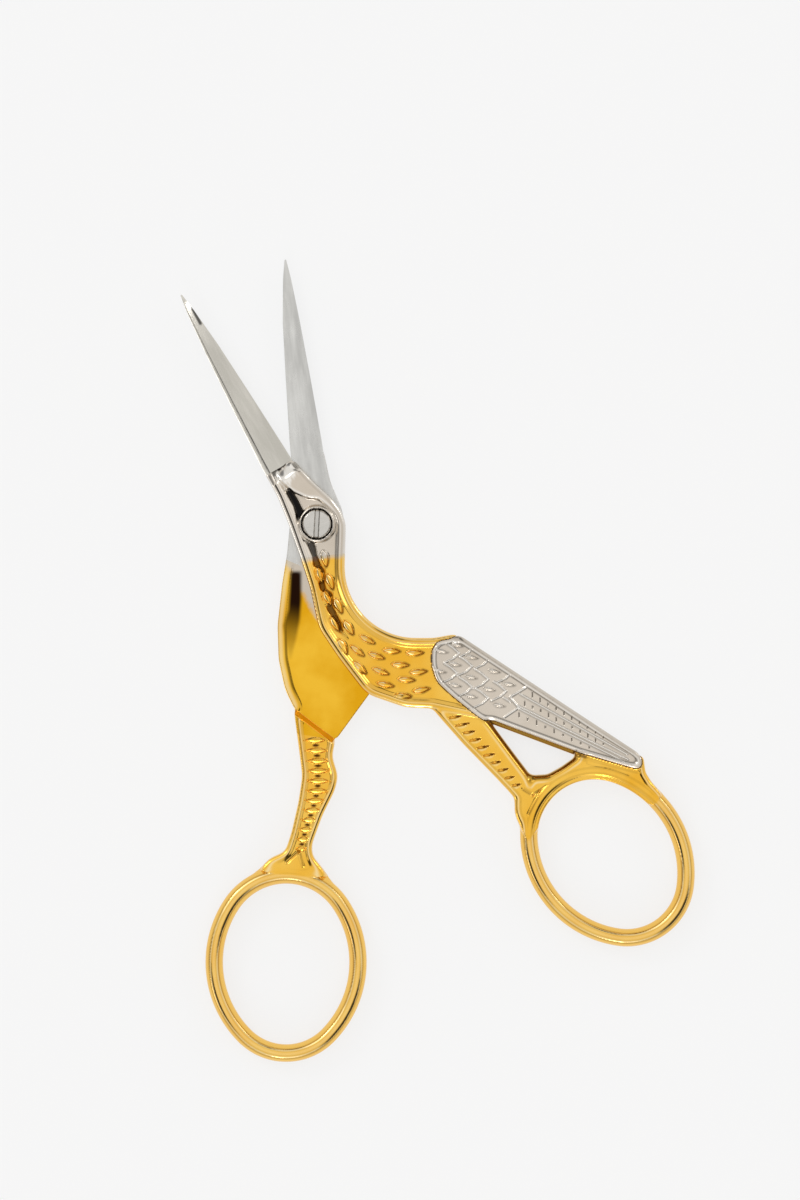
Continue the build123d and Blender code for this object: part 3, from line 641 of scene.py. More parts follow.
def run_out(top, along, left, spine, edge):
    """The plate's face falls to the ground blade's face, past a burnt line and a painted highlight."""
    ridge = spine - bevel
    face = shear + 0.12 + 1.18 * unit((left + edge) / (edge + ridge))
    face = np.where(left > ridge, shear + 1.3 - 0.28 * (left - ridge) / bevel, face)
    wave = np.sin(2.3 * left + 0.5)
    ragged = along + 0.20 * wave + 0.13 * np.sin(7.1 * left + 1.7 * along) + 0.09 * np.sin(15.3 * left + 2.0)
    burnt = spot(ragged, *burnt_reach) * ramp(left, -1.55, -1.3) * ramp(1.9 - left, 0.0, 0.3)
    # painted highlight on the slope below the burnt line
    flash = spot(along + 1.6 * (ragged - along), *flash_reach) * ramp(left, -1.6, -0.9)
    flash = 0.85 * flash * ramp(2.1 - left, 0.0, 0.9)
    return top + (face - 0.06 - top) * ramp(along + 0.12 * wave, fall_start, blade_start + 0.2), burnt, flash


def blade_seat(along):
    """How far the inner face draws back where the blade's own face begins."""
    return 0.15 * ramp(along, blade_start + 0.02, blade_start + 0.2)


def ring_top(offset):
    """Height of a ring's bar over its middle line's offset: a low crown between two steep sides."""
    away = np.abs(offset - crown_shift)
    side = np.clip((away - ring_crown) / (ring_bar / 2 - ring_crown), 0, 1.3)
    rise = (stack_height - ring_waist) / 2 - crown_fall
    return stack_height - crown_fall * unit(away / ring_crown) ** 2 - rise * side ** 1.15


def ring_marks(offset, plate):
    """Painted dark reflection along the edges of a ring's crown, painted highlights inside them, and 1 on the
    bar past its plate.
    """
    away = np.abs(offset - crown_shift)
    shine = most(0.8 * bell(away, 0.49, 0.09), 0.25 * bell(away, 0, 0.3))
    return 0.5 * bell(away, 0.68, 0.08), shine, ramp(plate, -0.25, 0.1)


def leg_shine(inside):
    """The painted highlight along a leg's rim."""
    return 0.6 * bell(inside, 0.55, 0.10)


def with_ring(plate, offset, soft):
    """A plate's distance joined to its ring's bar, with the ring's hole kept open."""
    d = soft_min(plate, np.abs(offset) - ring_bar / 2, soft)
    return np.where(offset < 0, most(d, -(offset + ring_bar / 2)), d)


def join_ring(top, plate, offset):
    """A plate's face that goes over into its ring's crown."""
    return soft_max(top - 3 * ramp(plate, -0.1, 0.5), ring_top(offset), 0.10)


def rib_places(leg, path):
    """Evenly spaced places on a leg's middle line: count, first and last share, and the line's bends."""
    count, first, last, bends = path
    for i in range(count):
        share = first + (last - first) * i / (count - 1)
        yield share, leg.point(share, np.interp(share, *bends) / leg.width)


def lens(place, bearing, half_length, half_width, x, y):
    """Places along a lens from -1 to 1, how far inside it each point is, and how far across."""
    s, t = local(place, bearing, x, y)
    bow = most(half_width * unit(1 - (s / half_length) ** 2), 0.02)
    return s / half_length, unit(1 - np.abs(t) / bow) * (np.abs(s) < half_length), t / bow


def notches(leg, x, y, path, turn, half_length, half_width):
    """Lens-shaped cuts across a leg, with painted shade toward their right ends and under them and a painted
    highlight along their lower edges.
    """
    depth = dark = bright = 0 * x
    for share, place in rib_places(leg, path):
        half = half_length * (1.15 - 0.45 * share)
        s, inside, t = lens(place, leg.bearing + turn, half, half_width, x, y)
        depth = most(depth, inside ** 0.7)
        hollow = ramp(inside, 0.12, 0.45) * ramp(s, -0.2, 0.3)
        under = 0.35 * spot(t, -1.15, -0.35) * ramp(0.95 - np.abs(s), 0.0, 0.3)
        dark = most(dark, 0.95 * hollow, under)
        bright = most(bright, 0.5 * spot(t, -2.4, -1.3) * ramp(0.8 - np.abs(s), 0.0, 0.3))
    return depth, dark, bright


def bars(leg, x, y, path, turn, half_width):
    """Raised lenses across a leg with painted shade between them."""
    height = dark = 0 * x
    places = list(rib_places(leg, path))
    for share, place in places:
        reach = np.interp(share, *BAR_LENGTHS)
        _, inside, _ = lens(place, leg.bearing + turn, reach, half_width, x, y)
        height = most(height, inside ** 0.6)
    for (share, a), (_, b) in zip(places, places[1:]):
        middle = ((a[0] + b[0]) / 2, (a[1] + b[1]) / 2)
        _, inside, _ = lens(middle, leg.bearing + turn, 0.55 - 0.2 * share, 0.30, x, y)
        dark = most(dark, ramp(inside, 0.0, 0.5))
    return height, dark


def add_creases(top, dark, rows, x, y):
    """Presses soft strokes into a face and paints shade into them."""
    for a, b, depth, width, deep in rows:
        away = stroke(a, b, x, y)
        top = top - depth * bell(away, 0, width)
        dark = most(dark, deep * bell(away, 0, 0.6 * width))
    return top, dark


def bird_outline(right_width, left_width, corners):
    """From the blade's root down the right side, round a half's own corners and up the left side."""
    right, left = [turned((blade_root, across), blade_bearing) for across in (-right_width, left_width)]
    return [right, *[on_body(s) for s in HEAD_RIGHT + NECK_RIGHT + corners + HEAD_LEFT], left]


def front_outlines(x, y):
    """Distances of the front half's bird, wing, wall behind the wing, leg, whole plate and ring."""
    bird = bird_outline(front_edge, front_spine, [SHOULDER, HIP_RIGHT, HIP_LEFT] + FRONT_LEFT)
    outlines = bird, wing.corners(WING), front_leg.corners(FRONT_LEG)
    d_bird, d_wing, d_leg = [outline_distance(corners, x, y, 0.36) for corners in outlines]
    half = wall_width / 2 / wing_width
    wall = [wing.point(u, v - half) for u, v in WALL] + [wing.point(u, v + half) for u, v in WALL[::-1]]
    offset = front_ring.offset(x, y)
    d_leg = most(d_leg, -offset)
    d_pad = most(outline_distance(front_ring.corners(PAD), x, y, 0.24), -(offset + ring_bar / 2))
    plate = soft_min(d_bird, soft_min(d_leg, d_pad, 0.8), 0.5)
    return d_bird, d_wing, outline_distance(wall, x, y), d_leg, plate, offset


def full_thickness(x, y):
    """1 where the front half has no part of the rear half behind it."""
    return ramp(line_side(on_body(DIVIDE_TOP), on_body(STEP_RIGHT), x, y) - 0.3, 0.0, 0.35)


def front_shape(x, y):
    """The front half: distance, top and bottom, then painted shade and painted highlight, each outer side
    first.
    """
    d_bird, d_wing, d_wall, d_leg, plate, offset = front_outlines(x, y)
    d = least(with_ring(plate, offset, 0.5), d_wall)
    bird = bird_relief(x, y, -least(soft_min(d, d_wing, 0.3), 0))
    # the leg's own face, with notches across it, and the plain foot
    inside = np.where(offset < -0.2, 0, -d)
    cuts, leg_shade, painted_glint = notches(front_leg, x, y, FRONT_NOTCHES, *NOTCH_SIZE)
    leg_face = stack_height + rim_profile(inside, leg_rim, leg_drop, 0.12) - 0.20 * cuts
    leg = leg_face, leg_shade, most(painted_glint, leg_shine(inside))
    top, dark, bright = blend(bird, leg, ramp(d_bird, -leg_blend, leg_blend))
    # walls of the window, that slope down to it, with painted shade on them and a painted highlight where
    # they begin
    near_window = 1 - ramp(outline_distance(WINDOW, x, y), 1.1, 1.7)
    wall_share = ramp(plate, -0.90, -0.60) * near_window
    top = top - 0.55 * ramp(plate, -1.0, 0.0) * near_window
    dark = most(dark, 0.35 * wall_share + 0.5 * ramp(plate, -0.45, -0.1) * near_window)
    bright = most(bright * (1 - wall_share), 0.7 * bell(plate, -1.05, 0.11) * near_window)
    top, dark = add_creases(top, dark, CREASES, x, y)
    top = join_ring(top, plate, offset)
    shadow, shine, on_ring = ring_marks(offset, plate)
    dark = most(dark * (1 - on_ring), shadow * on_ring)
    bright = bright * (1 - on_ring) + shine * on_ring
    # lower where the wing covers it
    core = stack_height - wing_plate
    on_wall = ramp(-d_wall, -0.05, 0.1) * ramp(d_wing, -0.05, 0.05)
    top = top + (core - top) * ramp(-d_wing, -0.02, 0.04)
    top = top + (core - 0.25 - top) * on_wall * ramp(d_leg, -0.1, 0.2) * (plate > -0.02)
    along, left = local((0, 0), blade_bearing, x, y)
    top, burnt, flash = run_out(top, along, left, front_spine, front_edge)
    bright = most(bright, flash)
    full = full_thickness(x, y)
    bottom = shear + (stack_height - top - shear) * full + blade_seat(along)
    # seat and bore of the screw
    reach = np.hypot(x, y)
    top = np.where(reach < seat_radius, least(top, head_top - head_height - seat_clearance), top)
    seat_shade = ramp(seat_radius + 0.04 - reach, 0.0, 0.04)
    # painted shade where the wall behind the wing shows by the window and in the gap round the screw's head,
    # with the burnt line
    dark = most(dark, 0.7 * on_wall * near_window, burnt, seat_shade)
    return most(d, front_bore - reach), top, bottom, dark, dark * full, bright, bright * full


def rear_shape(x, y):
    """The rear half, in the same order; its inner side is the flat plate behind the breast."""
    bird = bird_outline(rear_spine, rear_edge, [DIVIDE_TOP, STEP_RIGHT, STEP_LEFT] + REAR_LEFT)
    d_bird = outline_distance(bird, x, y, 0.24)
    offset = rear_ring.offset(x, y)
    d_leg = most(outline_distance(rear_leg.corners(REAR_LEG), x, y, 0.45), -offset)
    plate = soft_min(d_bird, d_leg, 0.3)
    d = with_ring(plate, offset, 1.2)
    face, dark, bright = bird_relief(x, y, -least(d, 0))
    from_root, _ = rear_leg.local(x, y)
    foot = ramp(from_root, rear_leg.length - 3.4, rear_leg.length - 1.2)
    height, leg_shade = bars(rear_leg, x, y, REAR_BARS, *BAR_SIZE)

    def leg_relief(inside):
        shape = rim_profile(inside, leg_rim, leg_drop, 0.30) + foot * 0.16 * ramp(inside, 0.6, 1.0)
        return stack_height + shape + 0.30 * height * ramp(inside, 0.55, 1.0)

    inside = np.where(offset < -0.2, 0, -d)
    legness = ramp(d_bird, -leg_blend, leg_blend)
    top = join_ring(face * (1 - legness) + leg_relief(inside) * legness, plate, offset)
    along, left = local((0, 0), blade_bearing, x, y)
    top, burnt, _ = run_out(top, along, -left, rear_spine, rear_edge)
    # the inner side: the flat plate with its rolled edge, then the step up to the leg's full height
    past_step = line_side(on_body(STEP_RIGHT), on_body(STEP_LEFT), x, y)
    full = ramp(past_step, -0.05, 0.75)
    inner = leg_relief(least(inside, most(past_step, 0) + 0.25))
    inner, creased = add_creases(inner, 0 * x, REAR_CREASES, x, y)
    inner = join_ring(inner, plate, offset)
    border = [on_body(s) for s in [STEP_LEFT] + REAR_LEFT + HEAD_LEFT]
    edge = smoothed(least(*[stroke(a, b, x, y) for a, b in zip(border, border[1:])]), x, 0.5)
    on_plate = ramp(-along, *plate_begins) * (1 - full)
    crease = bell(edge, crease_inset, 0.13)
    roll = unit((rolled_width - edge) / rolled_width) ** 2
    rolled = (0.10 * roll + 0.09 * crease + 0.05 * ramp(edge, 1.3, 4.5)) * on_plate
    bottom = shear + rolled + (stack_height - inner - shear) * full + blade_seat(along)
    # a painted dark reflection on the plate, and painted shade in its crease
    reflected_streak = ramp(-body_distance(REFLECTED_STREAK, x, y, 0.15), -0.42, 0.22) * (1 - full)
    reflected_streak = reflected_streak * (1 - 0.72 * ramp(np.hypot(x, y), *reflected_streak_fades))
    line = 0.85 * crease * on_plate * ramp(-along, *crease_comes) * (1 - ramp(-along, *crease_goes))
    shadow, shine, on_ring = ring_marks(offset, plate)
    dark = most(dark * (1 - legness) + leg_shade * legness, burnt, shadow * on_ring)
    inner_dark = most(reflected_streak, line, leg_shade * full, creased * full * legness, shadow * on_ring)
    # painted highlights along the leg's rim, the plate's rolled edge and the ring
    painted_glint = leg_shine(inside) * legness
    bright = bright * (1 - legness) + painted_glint
    inner_bright = most(painted_glint * full, 0.5 * bell(edge, 0.55, 0.2) * on_plate)
    bright, inner_bright = blend((bright, inner_bright), (shine, shine), on_ring)
    return most(d, rear_bore - np.hypot(x, y)), top, bottom, dark, inner_dark, bright, inner_bright


def wing_shape(x, y):
    """The bright wing's own relief: a border, scales with a drop in each, then long feathers."""
    _, d, _, _, plate, _ = front_outlines(x, y)
    u, v = wing.local(x, y)
    inside, depth = -d, -soft_min(plate, d, 0.3)
    # the sunk field, and the groove that parts the wing from the breast
    band = ramp(v, 0.3, 1.2) * ramp(u, -2.5, -0.5)
    border = np.where(band > 0, least(inside, depth - 0.28 * band), inside)
    field = ramp(border, 0.36, 0.72)
    groove = 0.16 * unit((0.28 - inside) / 0.28) ** 1.5 * ramp(depth, 0.9, 1.2)
    top = stack_height + least(rim_profile(depth, rim_width, rim_drop, 0.0), -groove) - 0.24 * field
    # painted shade and a painted highlight along the border
    dark, bright = 0.6 * bell(border, 0.62, 0.08), 0.7 * bell(border, 0.40, 0.10)

    def at_wing(a):
        return wing.point(a[0] / wing.length, a[1] / wing_width)

    def ridge(paths, width):
        """A fine ridge along broken lines, and painted shade along its lower left."""
        raised = shaded = 0 * x
        for path in paths:
            for a, b in zip(path, path[1:]):
                raised = most(raised, bell(stroke(a, b, x, y), 0, width))
                shaded = most(shaded, bell(stroke(a, b, x + 0.12, y + 0.16), 0, 0.8 * width))
        return raised, shaded * (1 - raised)

    arms = []
    for place in SCALES:
        root = at_wing(place)
        tip = (root[0] + SCALE_TIP[0], root[1] + SCALE_TIP[1])
        for bend, end in SCALE_ARMS:
            arms.append([tip, (tip[0] + bend[0], tip[1] + bend[1]), (tip[0] + end[0], tip[1] + end[1])])
    in_scales = 1 - ramp(u - scales_end - 0.3 * v, -0.2, 0.2)
    lines, line_dark = ridge(arms, 0.12)
    steps, step_dark = ridge([[at_wing(a) for a in ZIGZAG]], 0.13)
    quills, quill_dark = ridge([[at_wing(a), at_wing(b)] for a, b in QUILLS], 0.11)
    tail = ramp(u - quills_start + 0.15 * np.abs(v), -0.2, 0.4)
    ticks = 0 * x
    for (u0, v0), (u1, v1), count in BARBS:
        for i in range(count):
            share = (i + 0.5) / count
            place = at_wing((u0 + (u1 - u0) * share, v0 + (v1 - v0) * share))
            _, near, _ = lens(place, 88, 0.42 - 0.15 * share, 0.09, x, y)
            ticks = most(ticks, ramp(near, 0.0, 0.6))
    raised = most(lines * in_scales, steps, quills * tail)
    shaded = most(line_dark * in_scales, step_dark, quill_dark * tail)
    top = top + (0.17 * raised - 0.12 * ticks) * field
    # painted shade in the barbs' cuts and beside the ridges, painted highlights on the ridges
    dark = most(dark, most(0.55 * ticks, 0.34 * shaded) * field)
    bright = most(bright, 0.9 * raised * field)
    rows = [(*at_wing(place), -12) for place in SCALES]
    top, dark, bright = add_drops((top, dark, bright), x, y, rows, *WING_DROP, SCALE_SHADED_SIDE, 0.4, 1.0)
    top = least(top, stack_height)
    full = full_thickness(x, y)
    return d, top, shear + (stack_height - top - shear) * full, dark, dark * full, bright, bright * full


# Materials

class Graph:
    """The nodes of one material or world; an input is given as a value or as the socket that feeds it."""

    def __init__(self, tree):
        self.nodes, self.links = tree.nodes, tree.links

    def feed(self, node, inputs):
        for key, value in inputs.items():
            if isinstance(value, bpy.types.NodeSocket):
                self.links.new(value, node.inputs[key])
            else:
                node.inputs[key].default_value = value

    def add(self, kind, inputs=None, out=0, **settings):
        """Adds a node and gives one of its outputs."""
        node = self.nodes.new("ShaderNode" + kind)
        for key, value in settings.items():
            setattr(node, key, value)
        self.feed(node, inputs or {})
        return node.outputs[out]

    def noise(self, vector, scale, detail, roughness=0.5):
        inputs = {"Vector": vector, "Scale": scale, "Detail": detail, "Roughness": roughness}
        return self.add("TexNoise", inputs, "Fac")

    def maths(self, kind, *values, **settings):
        return self.add("Math", dict(enumerate(values)), operation=kind, **settings)

    def ranged(self, value, low, high, to_low=0.0, to_high=1.0, kind="LINEAR"):
        keys = ("Value", "From Min", "From Max", "To Min", "To Max")
        inputs = dict(zip(keys, (value, low, high, to_low, to_high)))
        return self.add("MapRange", inputs, "Result", interpolation_type=kind)

    def mixed(self, share, *colours):
        """A blend of two colours, each a colour or a socket."""
        ends = [c if isinstance(c, bpy.types.NodeSocket) else (*c, 1) for c in colours]
        return self.add("Mix", {0: share, 6: ends[0], 7: ends[1]}, 2, data_type="RGBA")

    def mark(self, name):
        return self.add("Attribute", out="Fac", attribute_name=name)


def new_material(name, **uniform):
    material = bpy.data.materials.new(name)
    material.use_nodes = True
    graph = Graph(material.node_tree)
    shader = graph.nodes["Principled BSDF"]
    graph.feed(shader, uniform)
    return material, graph, shader


# Scale of each noise: clouds, worn patches, wander of the plating's line, smears and dents
CLOUDY, PATCHY, WANDERING, SMEARED, DENTED = 130.0, 1100.0, 700.0, 420.0, 900.0
# Stretch of clouds and scratches along a blade
DRIFT, SCRATCH = (0.8, 5.0, 0.8), (260.0, 9000.0, 260.0)


# Of the colours after the roughness, the first is painted shade and burnt spots, the second painted
# reflection on slopes, the third painted highlight
def plated(name, colours, roughness, shade_and_burn_colour, sheen_colour, painted_glint, other=None, scratches=0.0, grain=0.0):
    """A plated surface: colour that drifts a little, roughness with smears and fine scratches."""
    material, graph, shader = new_material(name, Metallic=1.0)
    source = drifting = graph.add("TexCoord", out="Object")
    if scratches:
        along_grain = graph.add("Mapping", {"Vector": source, "Rotation": (0, 0, radians(-grain))})
        drifting = graph.add("Mapping", {"Vector": along_grain, "Scale": DRIFT})
    clouds = graph.ranged(graph.noise(drifting, CLOUDY, 3.0, 0.55), 0.36, 0.64)
    colour = graph.mixed(clouds, *colours)
    # painted reflection: slopes and edges turn paler in patches, as the pale room reflects in them
    patchy = graph.ranged(graph.noise(source, PATCHY, 3.0), 0.0, 1.0, 0.45, 0.85)
    colour = graph.mixed(graph.maths("MULTIPLY", graph.mark("slope_sheen"), patchy), colour, sheen_colour)
    if other:
        # where the other plating begins: a line with an uneven, soft edge
        wander = graph.maths("MULTIPLY_ADD", graph.noise(source, WANDERING, 2.0), 1.2, -0.6)
        reach = graph.maths("ADD", graph.mark("plating"), wander)
        colour = graph.mixed(graph.ranged(reach, 0.0, 1.0, kind="SMOOTHSTEP"), colour, other)
    # painted highlights on crests, then painted shade in recesses and gaps and the dark of burnt spots
    colour = graph.mixed(graph.mark("bright"), colour, painted_glint)
    colour = graph.mixed(graph.mark("shade_and_burn"), colour, shade_and_burn_colour)
    rough = graph.ranged(graph.noise(source, SMEARED, 4.0, 0.6), 0.3, 0.7, *roughness)
    # dents of polishing and, on ground faces, scratches that run one way
    dents = {"Strength": 0.10, "Distance": 0.0001, "Height": graph.noise(source, DENTED, 2.0)}
    normal = graph.add("Bump", dents)
    if scratches:
        stretched = graph.add("Mapping", {"Vector": along_grain, "Scale": SCRATCH})
        cuts = {"Strength": scratches, "Distance": 0.00004, "Height": graph.noise(stretched, 1.0, 5.0, 0.7)}
        normal = graph.add("Bump", {**cuts, "Normal": normal})
    graph.feed(shader, {"Base Color": colour, "Roughness": rough, "Normal": normal})
    return material


GOLD = ((0.90, 0.47, 0.040), (0.96, 0.58, 0.095))
BELLY = ((0.80, 0.40, 0.010), (0.94, 0.54, 0.040))
NICKEL = ((0.62, 0.545, 0.455), (0.70, 0.625, 0.535))
GROUND = ((0.63, 0.605, 0.545), (0.75, 0.72, 0.655))
STEEL = ((0.56, 0.555, 0.535), (0.73, 0.725, 0.70))
SCREW = ((0.62, 0.60, 0.56), (0.70, 0.67, 0.63))
# The dark colours are painted shade and the burnt line, the pale ones painted reflection on slopes, the
# bright ones painted highlights
BROWN, BLACK, BURN_AND_SHADE = (0.090, 0.028, 0.006), (0.012, 0.011, 0.011), (0.016, 0.006, 0.003)
PALE_GOLD, BRIGHT_GOLD = (0.92, 0.58, 0.14), (1.0, 0.87, 0.52)
PALE_NICKEL, BRIGHT_NICKEL = (0.74, 0.70, 0.64), (0.93, 0.90, 0.85)
GOLD_MARKS, NICKEL_MARKS = (BROWN, PALE_GOLD, BRIGHT_GOLD), (BLACK, PALE_NICKEL, BRIGHT_NICKEL)

gold = plated("gold_plate", GOLD, (0.08, 0.13), *GOLD_MARKS)
nickel = plated("nickel_plate", NICKEL, (0.08, 0.14), *NICKEL_MARKS)
gold_front = plated("gold_breast", GOLD, (0.08, 0.13), *GOLD_MARKS, NICKEL[0])
gold_rear = plated("gold_belly", BELLY, (0.06, 0.11), BURN_AND_SHADE, *GOLD_MARKS[1:], NICKEL[0])
blade_front = plated("ground_blade", GROUND, (0.12, 0.20), *NICKEL_MARKS, scratches=0.25, grain=blade_bearing)
blade_rear = plated("satin_blade", STEEL, (0.24, 0.36), *NICKEL_MARKS, scratches=0.6,
                    grain=blade_bearing - closing_angle)
screw_metal = plated("screw_steel", SCREW, (0.16, 0.28), *NICKEL_MARKS, scratches=0.4, grain=20)


# The two halves and the wing

# Levels that a grid spans, and the radii of a skin's upper and lower edges
LEVELS, SCREW_LEVELS = (-0.3, stack_height + 0.3), (2.3, 3.7)
LEG_EDGES, BIRD_EDGES, WING_EDGES, SCREW_EDGES = (0.32, 0.32), (0.32, 0.12), (0.07, 0.07), (0.08, 0.08)


def marks_at(relief, points, plating):
    """Per point: painted shade and burnt marks, painted slope reflection, painted highlights, and how far
    into the nickel it lies.
    """
    dark, bright = relief.painted(points, 0), relief.painted(points, 2)
    slope = relief.at(points)[1]
    lean = 1 - np.abs(slope[:, 2]) / most(np.linalg.norm(slope, axis=1), TINY)
    values = {"shade_and_burn": dark, "slope_sheen": ramp(lean, 0.03, 0.30) * (1 - dark), "bright": bright * (1 - dark)}
    if plating:
        values["plating"] = np.clip(0.5 + 0.5 * plating(*points.T[:2]), -4, 4)
    return values


def front_plating(x, y):
    return 1 + line_side(*plate_line, x, y) / 0.45


def rear_plating(x, y):
    start, end = [on_body(s) for s in REAR_PLATING]
    return least(line_side(start, end, x, y), y - end[1]) / 0.5


def skins(shape, low, high, body, pieces, rear=False, plating=None, pitch=fine, levels=LEVELS,
          rounding=LEG_EDGES):
    """One relief, meshed once for all the pieces that are cut from it."""
    relief = Relief(shape, low, high, pitch, *rounding)
    points, quads = relief.skin(*levels)
    for name, cuts, slot, nodes, material in pieces:
        verts, faces, normals = cut_skin(relief, points, quads, cuts)
        marks = marks_at(relief, verts, plating)
        piece(name, verts, faces, body, slot, nodes, material, rear, normals, marks=marks)


# Where the skins part, and the lowest and highest corner of each relief's grid
HIP_SHARE, REAR_HIP_SHARE, NECK_REACH, SPAN = 0.10, 0.08, 6.4, 20
FRONT_BIRD, FRONT_LEG_BOX = ((-8.5, -33.5), (37.0, 12.5)), ((14.0, -62.5), (58.5, -17.0))
REAR_BIRD, REAR_LEG_BOX = ((-8.5, -31.0), (20.5, 12.5)), ((2.0, -76.0), (39.0, -22.0))
WING_BOX, SCREW_BOX = ((12.0, -38.5), (50.0, -12.0)), ((-2.4, -2.4), (2.4, 2.4))
plate_line = [on_body(s) for s in FRONT_PLATING]
hip_cut = [front_leg.point(HIP_SHARE, side) for side in (-1, 1)]
rear_hip_cut = [rear_leg.point(REAR_HIP_SHARE, side) for side in (-1, 1)]
rear_neck_cut = [(-SPAN, -NECK_REACH), (SPAN, -NECK_REACH)]

skins(front_shape, *FRONT_BIRD, "front_half", [
    ("stork_head_skin", [(*plate_line, True)], "nickel_plate", ["stork_head"], nickel),
    ("stork_body_skin", [(*plate_line, False), (*hip_cut, True)], "gold_plate", ["stork_body"], gold_front),
], plating=front_plating, rounding=BIRD_EDGES)
skins(front_shape, *FRONT_LEG_BOX, "front_half", [
    ("front_leg_and_ring", [(*hip_cut, False)], "gold_plate", ["front_leg", "front_finger_ring"], gold),
])
skins(wing_shape, *WING_BOX, "front_half", [
    ("wing_skin", [], "nickel_plate", ["wing_plate_front", "wing_plate_back"], nickel),
], pitch=wing_fine, rounding=WING_EDGES)
skins(rear_shape, *REAR_BIRD, "rear_half", [
    ("rear_head_skin", [(*rear_neck_cut, True)], "nickel_blade", ["rear_blade"], blade_rear),
    ("rear_body_skin", [(*rear_neck_cut, False), (*rear_hip_cut, True)], "gold_plate", ["rear_body"],
     gold_rear),
], True, rear_plating, rounding=BIRD_EDGES)
skins(rear_shape, *REAR_LEG_BOX, "rear_half", [
    ("rear_leg_and_ring", [(*rear_hip_cut, False)], "gold_plate", ["rear_leg", "rear_finger_ring"], gold),
], True)


# Ground blades

# Places along the blade, the shares of its edge and of its spine left there, and its height
BLADE_ALONG = [blade_start, 12.0, 21.5, 29.2, 35.25, blade_end]
BLADE_SHARES = [(1.0, 0.97, 0.76, 0.56, 0.26, 0.05), (1.0, 0.96, 0.70, 0.46, 0.22, 0.05)]
BLADE_RIDGE = (1.3, 1.3, 1.045, 0.79, 0.58, 0.45)
# The last steps toward the tip: distance short of it, and the share of the section left there
BLADE_TIP = [(0.08, 0.92), (0.03, 0.7), (0.0, 0.35)]
# A stroke of painted dark reflection near the front blade's tip, where a second ground facet would be
FACET_SHADE = (-17.75, 30.7), (-16.6, 28.6)


def blade_section(along, spine, edge, closing):
    """Reach toward the spine and height over the shear face, round a blade at a distance along it."""
    rows = [np.interp(along, BLADE_ALONG, row) for row in (*BLADE_SHARES, BLADE_RIDGE)]
    e, share, height = edge * rows[0], rows[1], rows[2]
    s, ridge, drop, land, soft = spine * share, (spine - bevel) * share, 0.28 * share, 0.12, 0.08 * share
    points = [(-e, 0.03), (-e, land)]
    for t in np.linspace(0.05, 0.92, 14):
        points.append((-e + t * (ridge + e), land + t * (height - land) - 0.16 * share * t * (1 - t)))
    points += [(ridge - soft, height - soft * 0.3), (ridge, height), (ridge + soft, height - soft * 0.3)]
    points += [(s - soft, height - drop), (s, height - drop - soft), (s, 0.05)]
    points += [(s - 0.05, 0.0), (0, 0.0), (0.03 - e, 0.0)]
    middle = height / 3
    return [(u * closing, middle + (z - middle) * closing) for u, z in points]


def blade_piece(name, spine, edge, side, body, nodes, material, rear=False, facet_shade=None):
    """Sections along the blade, joined; the facet stroke, where given, is a painted dark reflection on its
    face.
    """
    tip = [(blade_end - short, closing) for short, closing in BLADE_TIP]
    rows = [(along, 1.0) for along in np.linspace(blade_start, tip_start, blade_steps)] + tip
    verts, faces = [], []
    for along, closing in rows:
        for u, z in blade_section(along, spine, edge, closing):
            verts.append((*turned((along, u * side), blade_bearing), shear + z))
    count = len(verts) // len(rows)
    for k in range(len(rows) - 1):
        for i in range(count):
            a, b = k * count + i, k * count + (i + 1) % count
            faces.append([a, b, b + count, a + count])
    faces += [list(range(count))[::-1], list(range(len(verts) - count, len(verts)))]
    if side > 0:
        faces = [face[::-1] for face in faces]
    marks = {}
    if facet_shade:
        away = stroke(*facet_shade, *np.array(verts).T[:2])
        marks["shade_and_burn"] = 0.85 * (1 - ramp(away, 0.10, 0.34))
    piece(name, verts, faces, body, "nickel_blade", nodes, material, rear, sharp=blade_sharp, marks=marks)


blade_piece("front_blade_ground", front_spine, front_edge, 1, "front_half", ["front_blade"], blade_front,
            facet_shade=FACET_SHADE)
blade_piece("rear_blade_ground", rear_spine, rear_edge, -1, "rear_half", ["rear_blade"], blade_rear, True)


# Pivot screw

def screw_shape(x, y):
    reach = np.hypot(x, y)
    _, side = local((0, 0), slot_bearing, x, y)
    half = slot_width / 2
    top = head_top - 0.05 * (reach / head_radius) ** 2 - 0.10 * ramp(reach, head_radius - 0.28, head_radius)
    top = top - (slot_depth - 0.05) * (1 - ramp(np.abs(side), half - 0.06, half + 0.06))
    # painted shade in the slot and along its one edge
    dark = 0.12 * (1 - ramp(np.abs(side), half - 0.04, half + 0.02))
    dark = most(dark, 0.7 * bell(side, 0.05 - half, 0.05))
    return reach - head_radius, top, head_top - head_height, dark, 0 * x


def turned_piece(name, profile, count, body, slot, material):
    """A closed turned form, from pairs of radius and height that begin and end on the axis."""
    circle = [2 * pi * k / count for k in range(count)]
    verts = [(0, 0, profile[0][1])]
    verts += [(radius * cos(a), radius * sin(a), z) for radius, z in profile[1:-1] for a in circle]
    verts.append((0, 0, profile[-1][1]))
    faces = []
    top_row = len(verts) - 1 - count
    for k in range(count):
        n = (k + 1) % count
        faces.append([0, 1 + n, 1 + k])
        for a in range(1, top_row, count):
            faces.append([a + k, a + n, a + count + n, a + count + k])
        faces.append([top_row + k, top_row + n, len(verts) - 1])
    piece(name, verts, faces, body, slot, [], material, sharp=shank_sharp)


skins(screw_shape, *SCREW_BOX, "rear_half", [
    ("screw_head", [], "screw_steel", ["pivot_screw"], screw_metal),
], pitch=screw_fine, levels=SCREW_LEVELS, rounding=SCREW_EDGES)
turned_piece("screw_shank", SHANK, shank_sides, "rear_half", "screw_steel", screw_metal)


# Camera, floor and light

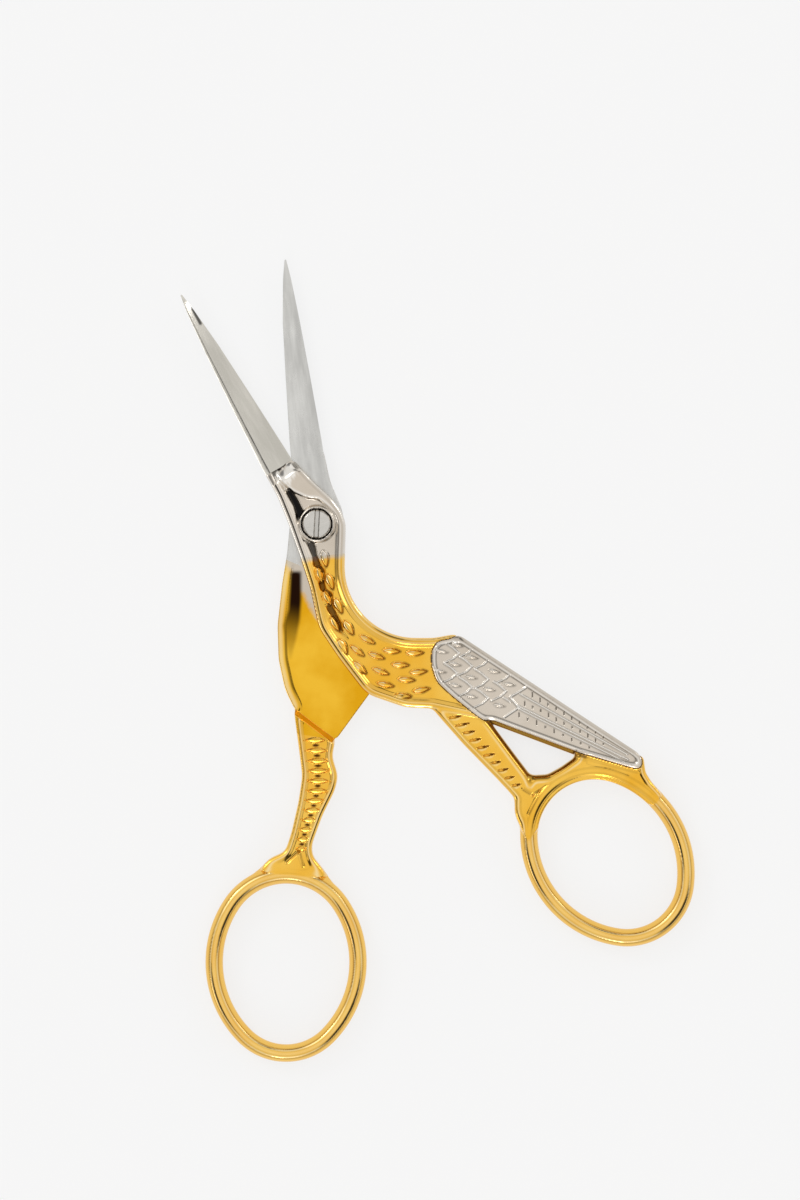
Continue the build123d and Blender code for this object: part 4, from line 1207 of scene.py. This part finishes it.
# The photograph in pixels: its middle, where the pivot is in it, its height, and a pixel's size
photo_middle, pivot_pixel, photo_height, pixel = (400, 600), (316.8, 524), 1200, 0.1425 * MM
camera_height, face_height, film = 0.9, 0.0027, 36.0
target = (PIVOT[0] * MM + (photo_middle[0] - pivot_pixel[0]) * pixel,
          PIVOT[1] * MM - (photo_middle[1] - pivot_pixel[1]) * pixel)
camera = bpy.data.objects.new("camera", bpy.data.cameras.new("camera"))
bpy.context.scene.collection.objects.link(camera)
camera.location = (*target, camera_height)
camera.data.sensor_fit = "VERTICAL"
camera.data.sensor_height = film
camera.data.lens = film * (camera_height - face_height) / (photo_height * pixel)
camera.data.clip_start, camera.data.clip_end = 0.01, 10.0
bpy.context.scene.camera = camera

PAPER, PAGE, PAGE_SHARE, ROOM = 0.90, 0.962, 0.80, (1.0, 0.995, 0.985, 1)
bpy.ops.mesh.primitive_plane_add(size=6.0, location=(*target, -0.00002))
floor = bpy.context.object
floor.name = "floor"
paper, graph, shader = new_material("paper", Roughness=0.9)
graph.feed(shader, {"Base Color": (PAPER, PAPER, PAPER, 1), "Specular IOR Level": 0.1})
# the page glows a little where it is seen, so that it stays as even as the photograph's
seen = [graph.add("LightPath", out=f"Is {ray} Ray") for ray in ("Camera", "Glossy", "Transmission")]
seen = graph.maths("ADD", graph.maths("ADD", *seen[:2]), seen[2])
page = graph.add("Emission", {"Strength": PAGE})
both = {0: graph.maths("MULTIPLY", seen, PAGE_SHARE, use_clamp=True), 1: shader.outputs[0], 2: page}
graph.feed(graph.nodes["Material Output"], {"Surface": graph.add("MixShader", both)})
floor.data.materials.append(paper)

# azimuth and lean of each patch, its radius and soft rim in degrees, and the light it adds
PATCHES = [(0, 0, 14, 12, 0.12), (205, 36, 5, 9, -0.75), (135, 50, 12, 10, 0.6), (138, 54, 3, 4, 7.0),
           (268, 58, 9, 9, 0.5), (264, 60, 3, 4, 6.0), (325, 44, 9, 12, -0.75), (30, 64, 8, 10, 0.3),
           (38, 66, 2, 4, 5.0), (70, 48, 5, 8, -0.6), (180, 66, 8, 8, -0.5), (100, 78, 8, 8, -0.6),
           (300, 72, 6, 8, -0.5), (200, 80, 6, 6, 2.0)]
world = bpy.data.worlds.new("studio")
bpy.context.scene.world = world
world.use_nodes = True
graph = Graph(world.node_tree)
place = graph.add("TexCoord", out="Generated")


def patch(azimuth, polar, size, soft, light):
    """A soft round patch of the studio: how much to add to the light there."""
    a, b = radians(azimuth), radians(polar)
    direction = (cos(a) * sin(b), sin(a) * sin(b), cos(b))
    dot = graph.add("VectorMath", {0: place, 1: direction}, "Value", operation="DOT_PRODUCT")
    return graph.ranged(dot, cos(radians(size + soft)), cos(radians(size)), 0.0, light, "SMOOTHSTEP")


level, darkest = 0.80, 0.02
for row in PATCHES:
    level = graph.maths("ADD", level, patch(*row))
strength = graph.maths("MAXIMUM", level, darkest)
graph.feed(graph.nodes["Background"], {"Strength": strength, "Color": ROOM})

bpy.context.scene.view_settings.view_transform = "Standard"
